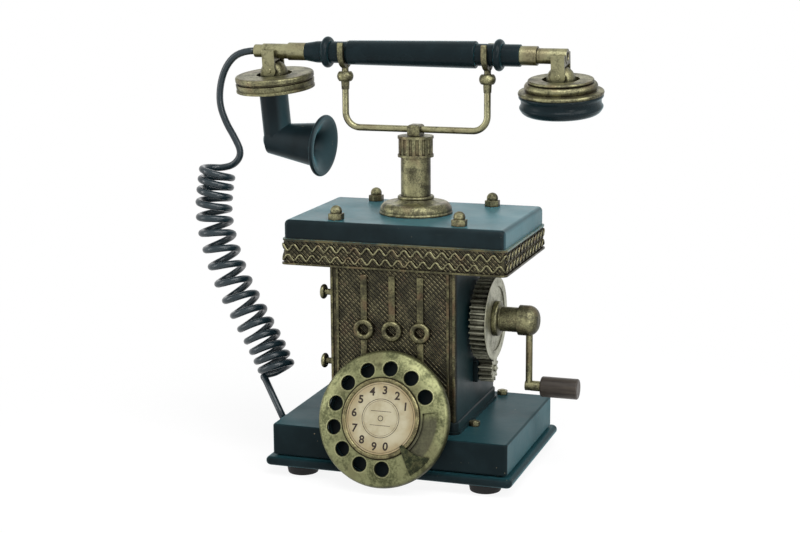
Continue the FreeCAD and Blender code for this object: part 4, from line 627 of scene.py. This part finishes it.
FINISHES = (
    (enamel, 0.0004, ("lid_top",)),
    (plinth_enamel, 0.0004, ("base_casing",)),
    (shaded_enamel, 0.0004, ("body_case", "pinion_bearing", "dial_case")),
    (handle_enamel, 0.00025, ("grip_sleeve", "dark_collars", "bead_rings", "ear_cap")),
    (grey_cap, 0.00025, ("mouthpiece",)),
    (brass, 0.00025, ("base_nuts", "thumb_screws", "acorn_nuts", "column_base", "column_tube",
                      "fluted_collar", "shaft_bush", "saddle_block", "left_fork", "right_fork",
                      "transmitter_cup", "receiver_shell", "crank_hub", "crank_arm")),
    (rod_brass, 0.0002, ("cradle_rod", "transmitter_clevis", "receiver_clevis", "ferrules")),
    (strip_brass, 0.0002, ("ring_bars", "side_strips", "lid_lip")),
    (wheel_brass, 0.00025, ("finger_wheel",)),
    (bezel_brass, 0.00025, ("card_bezel",)),
    (stop_brass, 0.0002, ("finger_stop",)),
    (dark_brass, 0.0002, ("front_panel", "lid_frame")),
    (gear_brass, 0.0001, ("crank_gear", "pinion")),
    (steel, 0.0001, ("bottom_plate", "foot_screws", "handle_core", "crank_shaft", "hook_switch")),
    (magnet_steel, 0.0002, ("magneto_magnets", "magneto_frame", "receiver_magnet")),
    (bell_metal, 0.0001, ("gongs", "ringer_hammer")),
    (copper, 0.0001, ("ringer_coils", "induction_coil", "armature")),
    (rubber, 0.0004, ("rubber_feet", "cord_grommet")),
    (carbon, 0.0001, ("carbon_capsule",)),
    (card, 0.0001, ("number_card",)),
    (wood, 0.0003, ("crank_grip",)),
)
for material, bevel, names in FINISHES:
    for name in names:
        dress(name, material, bevel)
print("dressed", sum(len(names) for _, _, names in FINISHES), "pieces")

# %% [markdown]
# ## Mesh helpers
#
# New pieces are plain vertex lists worked out by formula. A round wire is a ring of
# points carried along a line without twisting: each ring's frame is the last one,
# turned by as much as the line turned.

# %% Wires and tubes


def new_piece(name, points, faces, material, body, smooth=True):
    mesh = bpy.data.meshes.new(name)
    mesh.from_pydata([tuple(p) for p in points], [], faces)
    mesh.polygons.foreach_set("use_smooth", [smooth] * len(mesh.polygons))
    mesh.materials.append(material)
    mesh.update()
    piece = bpy.data.objects.new(name, mesh)
    bpy.context.scene.collection.objects.link(piece)
    if body:
        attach(piece, body)
    return piece


def wire_rings(line, radius, sides, closed=False, first_up=None):
    """Vertices and faces of a round wire along a line of points."""
    line = [Vector(p) for p in line]
    count = len(line)
    ways = []
    for i in range(count):
        before = line[(i - 1) % count] if closed or i else line[i]
        after = line[(i + 1) % count] if closed or i < count - 1 else line[i]
        ways.append((after - before).normalized())
    up = first_up or ways[0].orthogonal()
    points = []
    for i, (place, way) in enumerate(zip(line, ways)):
        if i:
            up = ways[i - 1].rotation_difference(way) @ up
        up = (up - way * up.dot(way)).normalized()
        side = way.cross(up)
        for k in range(sides):
            a = 2 * math.pi * k / sides
            points.append(place + (up * math.cos(a) + side * math.sin(a)) * radius)
    faces = []
    for i in range(count if closed else count - 1):
        a, b = i * sides, (i + 1) % count * sides
        for k in range(sides):
            n = (k + 1) % sides
            faces.append((a + k, a + n, b + n, b + k))
    if not closed:
        faces.append(tuple(reversed(range(sides))))
        faces.append(tuple(range((count - 1) * sides, count * sides)))
    return points, faces


def join(points, faces, more_points, more_faces):
    """Add a second mesh to a list of points and faces."""
    faces += [tuple(len(points) + i for i in face) for face in more_faces]
    points += more_points


def read_curve(curve):
    """Vertices and faces of a curve as it would be drawn. The curve itself is cleared away."""
    holder = bpy.data.objects.new(curve.name, curve)
    bpy.context.scene.collection.objects.link(holder)
    bpy.context.view_layer.update()
    mesh = bpy.data.meshes.new_from_object(holder.evaluated_get(bpy.context.evaluated_depsgraph_get()))
    points = [v.co.copy() for v in mesh.vertices]
    faces = [tuple(p.vertices) for p in mesh.polygons]
    bpy.data.objects.remove(holder)
    bpy.data.curves.remove(curve)
    bpy.data.meshes.remove(mesh)
    return points, faces


def read_spline(points, steps):
    """Points along the smooth line that has these points as its control points."""
    curve = bpy.data.curves.new("route", "CURVE")
    curve.dimensions = "3D"
    spline = curve.splines.new("NURBS")
    spline.points.add(len(points) - 1)
    for point, place in zip(spline.points, points):
        point.co = (*place, 1.0)
    spline.order_u = 3
    spline.use_endpoint_u = True
    spline.resolution_u = steps
    return read_curve(curve)[0]


# %% [markdown]
# ## The curly cord
#
# One black cord leaves the gland on the handset, drops behind the mouthpiece, winds
# itself into sixteen curls and runs into a grommet low on the plinth's left side. The
# curls hang from the handset, so they lie close together at both ends and are pulled
# open in the middle. Their centre line is itself a smooth curve; the curls are points
# carried round it, and the whole cord is one spline through lead, curls and tail.

# %% Route of the cord
COIL_ROUTE = [(-0.1233, -0.0060, 0.1710), (-0.1250, -0.0076, 0.1585), (-0.1254, -0.0096, 0.1420),
              (-0.1196, -0.0126, 0.1225), (-0.1108, -0.0152, 0.1025), (-0.0988, -0.0174, 0.0835),
              (-0.0870, -0.0204, 0.0660), (-0.0802, -0.0220, 0.0525)]
LEAD_ROUTE = [(-0.0995, 0.0000, 0.2415), (-0.1095, 0.0002, 0.2411), (-0.1186, 0.0005, 0.2332),
              (-0.1234, 0.0009, 0.2215), (-0.1244, 0.0012, 0.2086), (-0.1202, 0.0016, 0.1972),
              (-0.1156, 0.0020, 0.1896), (-0.1110, 0.0026, 0.1797), (-0.1163, 0.0032, 0.1722)]
TAIL_ROUTE = [(-0.0914, -0.0195, 0.0482), (-0.0890, -0.0210, 0.0466), (-0.0866, -0.0226, 0.0435),
              (-0.0720, -0.0325, 0.0248)]
CORD_R = 0.0021
CURL_R = 0.0094
CURLS = 16
CURL_START = 100.0
CURL_END = 130.0
CURL_BUNCH = 0.30
CURL_POINTS = 14
CENTRE_STEPS = 24
CORD_STEPS = 5
CORD_SIDES = 12


def along_line(line, share):
    """Place and heading on a line of points, at a share of its length."""
    lengths = [0.0]
    for a, b in zip(line, line[1:]):
        lengths.append(lengths[-1] + (b - a).length)
    target = share * lengths[-1]
    i = min(max(int(np.searchsorted(lengths, target)) - 1, 0), len(line) - 2)
    part = (target - lengths[i]) / (lengths[i + 1] - lengths[i])
    return line[i].lerp(line[i + 1], part), (line[i + 1] - line[i]).normalized()


def curl_points():
    centre_line = read_spline(COIL_ROUTE, CENTRE_STEPS)
    turn = 360 * CURLS + CURL_END - CURL_START
    count = CURLS * CURL_POINTS
    points = []
    for i in range(count + 1):
        share = i / count
        bunched = share - CURL_BUNCH * math.sin(2 * math.pi * share) / (2 * math.pi)
        centre, down = along_line(centre_line, bunched)
        right = (Vector((1, 0, 0)) - down * down.x).normalized()
        back = right.cross(down)
        a = math.radians(CURL_START + share * turn)
        points.append(centre + right * (CURL_R * math.cos(a)) + back * (CURL_R * math.sin(a)))
    return points


cord_line = read_spline([*LEAD_ROUTE, *curl_points(), *TAIL_ROUTE], CORD_STEPS)
cord_length = sum((b - a).length for a, b in zip(cord_line, cord_line[1:]))
print("cord", round(cord_length, 4), "m,", len(cord_line), "rings")


# %% Cord
def cord_rubber():
    paint = Paint("cord_black")
    cloud = paint.noise(0.03)
    tone = paint.mix(cloud, (0.006, 0.015, 0.020), (0.012, 0.028, 0.036))
    skin = paint.bump(paint.noise(0.002, 1.0), 0.00005)
    return paint.finish(base_color=tone, roughness=cloud.ramp(0.3, 0.7, 0.24, 0.34), normal=skin)


def make_cord():
    points, faces = wire_rings(cord_line, CORD_R, CORD_SIDES)
    cord = new_piece("curly_cord_wire", points, faces, cord_rubber(), None)
    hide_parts("cord_lead", "curly_cord", "cord_tail")
    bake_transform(cord)


make_cord()

# %% [markdown]
# ## Ridged sheet metal
#
# The front panel and the band of the lid are covered with fine ridges that run down to
# the right at about 44 degrees, brass on their tops and black between. A bump map would
# vanish at the outline and in the export, so the ridges are real: lines along each
# ridge, cut off where they meet the panel's border, are joined into one wavy sheet, and
# a Solidify modifier gives the sheet its thickness.

# %% Diagonal ridges
RIDGE_ANGLE = math.radians(44)
RIDGE_PITCH = 0.00192
RIDGE_RISE = 0.00058
RIDGE_PROFILE = ((0.0, 0.0), (0.16, 0.80), (0.33, 1.0), (0.50, 0.80), (0.66, 0.0))
BRASS_STRIPS = (1, 2)
BEAD_PITCH = 0.0027
SHORTEST_RIDGE = 0.0002
SHEET_T = 0.0003


def clip_line(offset, half_width, half_height):
    """Ends of the ridge line at this distance from the middle, cut at the border."""
    along = (math.cos(RIDGE_ANGLE), -math.sin(RIDGE_ANGLE))
    across = (math.sin(RIDGE_ANGLE), math.cos(RIDGE_ANGLE))
    low, high = -10.0, 10.0
    for half, way, side in zip((half_width, half_height), along, across):
        start = offset * side
        ends = sorted(((-half - start) / way, (half - start) / way))
        low, high = max(low, ends[0]), min(high, ends[1])
    if high - low < SHORTEST_RIDGE:
        return None
    return [(offset * across[0] + s * along[0], offset * across[1] + s * along[1]) for s in (low, high)]


def ridged_sheet(half_width, half_height, put):
    """Vertices and faces of a ridged rectangle; put turns (across, up, rise) into a place."""
    reach = half_width * math.sin(RIDGE_ANGLE) + half_height * math.cos(RIDGE_ANGLE)
    points = []
    faces = []
    kinds = []
    last = None
    for k in range(-int(reach / RIDGE_PITCH) - 1, int(reach / RIDGE_PITCH) + 2):
        for strip, (share, rise) in enumerate(RIDGE_PROFILE):
            ends = clip_line((k + share) * RIDGE_PITCH, half_width, half_height)
            if ends is None:
                continue
            here = len(points)
            points += [put(u, v, rise * RIDGE_RISE) for u, v in ends]
            if last is not None:
                faces.append((last, last + 1, here + 1, here))
                kinds.append(0 if strip - 1 in BRASS_STRIPS else 1)
            last = here
    return points, faces, kinds


def ridge_paint():
    """Dull brass for the ridge tops, with faint cross marks."""
    paint = Paint("woven_bronze")
    cloud = paint.noise(0.012)
    slope = paint.axis(0) * math.cos(RIDGE_ANGLE) - paint.axis(2) * math.sin(RIDGE_ANGLE)
    beads = (slope * (2 * math.pi / BEAD_PITCH)).sin()
    tone = paint.mix(cloud.ramp(0.4, 0.6), (0.052, 0.047, 0.028), (0.185, 0.165, 0.092))
    tone = paint.mix(paint.noise(0.006).ramp(0.52, 0.7, 0.0, 0.6), tone, (0.070, 0.036, 0.028))
    tone = paint.mix(beads.ramp(-0.8, 0.2, 0.75, 0.0), tone, (0.020, 0.018, 0.014))
    return paint.finish(base_color=tone, metallic=0.8, roughness=cloud.ramp(0.3, 0.7, 0.36, 0.50),
                        normal=paint.bump(beads, 0.00006))


woven = ridge_paint()
groove_black = soft_black("groove_black", (0.0035, 0.0040, 0.0038), 0.6, ior=1.08)


def ridged_piece(name, half_width, half_height, put):
    points, faces, kinds = ridged_sheet(half_width, half_height, put)
    piece = new_piece(name, points, faces, woven, "base", smooth=False)
    piece.data.materials.append(groove_black)
    piece.data.polygons.foreach_set("material_index", kinds)
    thick = piece.modifiers.new("sheet", "SOLIDIFY")
    thick.thickness = SHEET_T
    thick.offset = -1.0


# %% Front panel and lid band
SHEET_GAP = 0.00008
PANEL_HALF = 0.0321
BAND_CORNER = 0.0022
BAND_EDGE = 0.0007
BAND_RAISED = 0.0006

panel_low, panel_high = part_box("front_panel")
panel_mid = (panel_low[2] + panel_high[2]) / 2
ridged_piece("panel_ridges", PANEL_HALF, (panel_high[2] - panel_low[2]) / 2,
             lambda u, v, rise: (u, panel_low[1] + SHEET_GAP - rise, panel_mid + v))
band_low, band_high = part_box("lid_frame")
LID_HX = band_high[0]
LID_HY = band_high[1]
band_half = (band_high[2] - band_low[2]) / 2 - BAND_EDGE
band_mid = (band_high[2] + band_low[2]) / 2 + BAND_RAISED
for name, half, turn, reach in (("band_front", LID_HX, 0, LID_HY), ("band_right", LID_HY, 90, LID_HX),
                                ("band_back", LID_HX, 180, LID_HY), ("band_left", LID_HY, 270, LID_HX)):
    spin = Matrix.Rotation(math.radians(turn), 3, "Z")
    ridged_piece("lid_" + name, half - BAND_CORNER, band_half,
                 lambda u, v, rise: spin @ Vector((u, -reach + SHEET_GAP - rise, band_mid + v)))

# %% [markdown]
# ## Wavy wires round the lid
#
# Two round wires run round the lid's band in waves that mirror each other. Each is one
# closed tube whose centre line follows the band's rounded rectangle, with a sine added
# to its height, and a whole number of waves so that it meets itself.

# %% Wave wires
WAVE_R = 0.00060
WAVE_SWING = 0.00175
WAVE_PITCH = 0.0074
WAVE_HEIGHTS = (0.1275, 0.1334)
WAVE_STEP = 0.00062
WAVE_SIDES = 8
CORNER_STEPS = 8


def band_walk(step, out):
    """Points round the lid's band, at a distance out from it, with their travelled way."""
    corner = BAND_CORNER + out
    line = []
    for i, (sx, sy) in enumerate(((1, 1), (-1, 1), (-1, -1), (1, -1))):
        middle = Vector((sx * (LID_HX - BAND_CORNER), sy * (LID_HY - BAND_CORNER), 0))
        for k in range(CORNER_STEPS + 1):
            a = math.radians(90 * i + 90 * k / CORNER_STEPS)
            line.append(middle + Vector((math.cos(a), math.sin(a), 0)) * corner)
    walk = []
    travelled = 0.0
    for a, b in zip(line, line[1:] + line[:1]):
        length = (b - a).length
        cuts = max(1, round(length / step))
        for k in range(cuts):
            walk.append((a.lerp(b, k / cuts), travelled + length * k / cuts))
        travelled += length
    return walk, travelled


walk, around = band_walk(WAVE_STEP, WAVE_R)
waves = round(around / WAVE_PITCH)
wave_rate = 2 * math.pi * waves / around
for name, height, swing in zip(("lower", "upper"), WAVE_HEIGHTS, (-WAVE_SWING, WAVE_SWING)):
    line = [p + Vector((0, 0, height + swing * math.sin(wave_rate * s))) for p, s in walk]
    points, faces = wire_rings(line, WAVE_R, WAVE_SIDES, closed=True, first_up=Vector((0, 0, 1)))
    wire = new_piece("wave_wire_" + name, points, faces, wave_brass, "base")
    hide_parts("wave_wires")
print("waves", waves, "round", round(around, 4), "m")

# %% [markdown]
# ## Printed card
#
# The dial's card carries the ten digits, one by each finger hole, thin printed rings and
# two short rules. Digits are text turned into mesh, laid a hair above the card. They are
# all placed in the dial's own flat frame first, whose third axis points out of the dial,
# and one matrix then leans them back with the dial.

# %% Digits and rings
TO_DIAL = Matrix.Translation(DIAL_CENTRE) @ Matrix.Rotation(math.pi / 2 - DIAL_LEAN, 4, "X")
CARD_TOP = 0.00070
PRINT_RISE = 0.00004
INK_T = 0.00003
DIGIT_R = 0.0160
DIGIT_SIZE = 0.0063
DIGIT_SWELL = 0.00019
DIGIT_ANGLES = {"1": 29, "2": 57, "3": 86, "4": 113, "5": 142, "6": 172, "7": 204, "8": 232, "9": 262,
                "0": 286}


def digit_mesh(character):
    """Vertices and faces of one digit, thickened a little, about its own middle."""
    curve = bpy.data.curves.new("digit", "FONT")
    curve.body = character
    curve.size = DIGIT_SIZE
    curve.offset = DIGIT_SWELL
    curve.resolution_u = 5
    flat, faces = read_curve(curve)
    low = Vector((min(p.x for p in flat), min(p.y for p in flat), 0))
    high = Vector((max(p.x for p in flat), max(p.y for p in flat), 0))
    middle = (low + high) / 2
    return [p - middle for p in flat], faces


def printed_piece(name, points, faces):
    raised = [TO_DIAL @ Vector((p[0], p[1], CARD_TOP + PRINT_RISE)) for p in points]
    piece = new_piece(name, raised, faces, ink, "base", smooth=False)
    build = bmesh.new()
    build.from_mesh(piece.data)
    bmesh.ops.remove_doubles(build, verts=build.verts, dist=0.000001)
    bmesh.ops.recalc_face_normals(build, faces=build.faces)
    build.to_mesh(piece.data)
    build.free()
    thick = piece.modifiers.new("ink", "SOLIDIFY")
    thick.thickness = INK_T


points = []
faces = []
for character, degrees in DIGIT_ANGLES.items():
    a = math.radians(degrees)
    place = Vector((DIGIT_R * math.cos(a), DIGIT_R * math.sin(a), 0))
    flat, polygons = digit_mesh(character)
    join(points, faces, [place + p for p in flat], polygons)
printed_piece("card_digits", points, faces)


def flat_ring(points, faces, inner, outer, steps=96):
    here = len(points)
    for k in range(steps):
        a = 2 * math.pi * k / steps
        points += [(inner * math.cos(a), inner * math.sin(a)), (outer * math.cos(a), outer * math.sin(a))]
    for k in range(steps):
        a, b = here + 2 * k, here + 2 * ((k + 1) % steps)
        faces.append((a, a + 1, b + 1, b))


RINGS = ((0.01075, 0.01105), (0.00985, 0.00998), (0.0193, 0.0195), (0.0012, 0.0016))
RULE_HEIGHTS = (0.0040, -0.0040)
RULE_HALF = 0.0060
RULE_HALF_W = 0.00013
points = []
faces = []
for inner, outer in RINGS:
    flat_ring(points, faces, inner, outer)
for height in RULE_HEIGHTS:
    low, high = height - RULE_HALF_W, height + RULE_HALF_W
    corners = [(-RULE_HALF, low), (RULE_HALF, low), (RULE_HALF, high), (-RULE_HALF, high)]
    join(points, faces, corners, [(0, 1, 2, 3)])
printed_piece("card_rings", points, faces)

# %% [markdown]
# ## Edge of the finger wheel
#
# The wheel's rim is milled with short notches, and each finger hole has a rim that
# fingers have rubbed bright. Small bars stand on the rim wall between the notches. A thin
# wire lies sunk in the metal round each hole; its height comes from a ray shot down onto
# the wheel, whose face is domed.

# %% Milled rim and bright hole rims
RIM_BARS = 132
RIM_TOP_R = 0.03868
RIM_LOW_R = 0.03889
RIM_TOP = -0.0047
RIM_LOW = -0.0059
BAR_SHARE = 0.62
BAR_TOP_SHARE = 0.7
BAR_ROOT = 0.0007


def rim_bars():
    points = []
    faces = []
    half = math.pi / RIM_BARS * BAR_SHARE
    top = half * BAR_TOP_SHARE
    profile = ((-half, BAR_ROOT), (-top, 0.0), (top, 0.0), (half, BAR_ROOT))
    for i in range(RIM_BARS):
        a = 2 * math.pi * i / RIM_BARS
        here = len(points)
        for z, r in ((RIM_LOW, RIM_LOW_R), (RIM_TOP, RIM_TOP_R)):
            for turn, depth in profile:
                points.append(((r - depth) * math.cos(a + turn), (r - depth) * math.sin(a + turn), z))
        faces += [(here, here + 1, here + 5, here + 4), (here + 1, here + 2, here + 6, here + 5),
                  (here + 2, here + 3, here + 7, here + 6), (here + 3, here, here + 4, here + 7),
                  (here + 3, here + 2, here + 1, here), (here + 4, here + 5, here + 6, here + 7)]
    return [TO_DIAL @ Vector(p) for p in points], faces


FINGER_R = 0.0043
FINGER_CIRCLE_R = 0.0283
FINGER_ANGLES = [29.4 + 27.5 * i for i in range(10)]
HOLE_WIRE_R = 0.00036
HOLE_WIRE_SUNK = 0.00032
HOLE_WIRE_OUT = HOLE_WIRE_R * 1.3
HOLE_WIRE_SIDES = 6
HOLE_STEPS = 40
ABOVE_WHEEL = 0.03


def hole_rims():
    """A thin wire sunk in the wheel round each finger hole."""
    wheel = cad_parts["finger_wheel"]
    flat = TO_DIAL.inverted() @ wheel.matrix_world
    tree = BVHTree.FromPolygons([flat @ v.co for v in wheel.data.vertices],
                                [tuple(p.vertices) for p in wheel.data.polygons])
    reach = FINGER_R + HOLE_WIRE_OUT
    points = []
    faces = []
    for degrees in FINGER_ANGLES:
        a = math.radians(degrees)
        middle = Vector((FINGER_CIRCLE_R * math.cos(a), FINGER_CIRCLE_R * math.sin(a), ABOVE_WHEEL))
        line = []
        for k in range(HOLE_STEPS):
            b = 2 * math.pi * k / HOLE_STEPS
            start = middle + Vector((math.cos(b), math.sin(b), 0)) * reach
            hit = tree.ray_cast(start, Vector((0, 0, -1)))[0]
            line.append(hit - Vector((0, 0, HOLE_WIRE_SUNK)) if hit else None)
        if None in line:
            print("no surface round the finger hole at", degrees)
            continue
        ring, sides = wire_rings(line, HOLE_WIRE_R, HOLE_WIRE_SIDES, closed=True,
                                 first_up=Vector((0, 0, 1)))
        join(points, faces, ring, sides)
    return [TO_DIAL @ p for p in points], faces


points, faces = hole_rims()
new_piece("hole_rims", points, faces, rim_brass, "dial")
points, faces = rim_bars()
new_piece("rim_notches", points, faces, wheel_brass, "dial", smooth=False)

# %% [markdown]
# ## Plain edge of the large gear
#
# On the crank's side the large gear shows a plain round edge. A thin ring closes its
# tooth gaps there, beyond the end of the pinion, so the two never touch.

# %% Gear ring
GEAR_AXIS_Y = -0.0034
GEAR_AXIS_Z = 0.0897
GEAR_RING = ((0.04922, 0.0191), (0.04922, 0.02410), (0.04940, 0.02430), (0.04968, 0.02430),
             (0.04986, 0.02410), (0.04986, 0.0191))
RING_STEPS = 144


def gear_ring():
    points = []
    faces = []
    count = len(GEAR_RING)
    for k in range(RING_STEPS):
        a = 2 * math.pi * k / RING_STEPS
        points += [(x, GEAR_AXIS_Y + r * math.cos(a), GEAR_AXIS_Z + r * math.sin(a)) for x, r in GEAR_RING]
        here, after = k * count, (k + 1) % RING_STEPS * count
        for i in range(count):
            j = (i + 1) % count
            faces.append((here + i, here + j, after + j, after + i))
    return points, faces


points, faces = gear_ring()
new_piece("gear_ring", points, faces, gear_brass, "crank", smooth=False)

# %% Sizes of the scene
low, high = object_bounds()
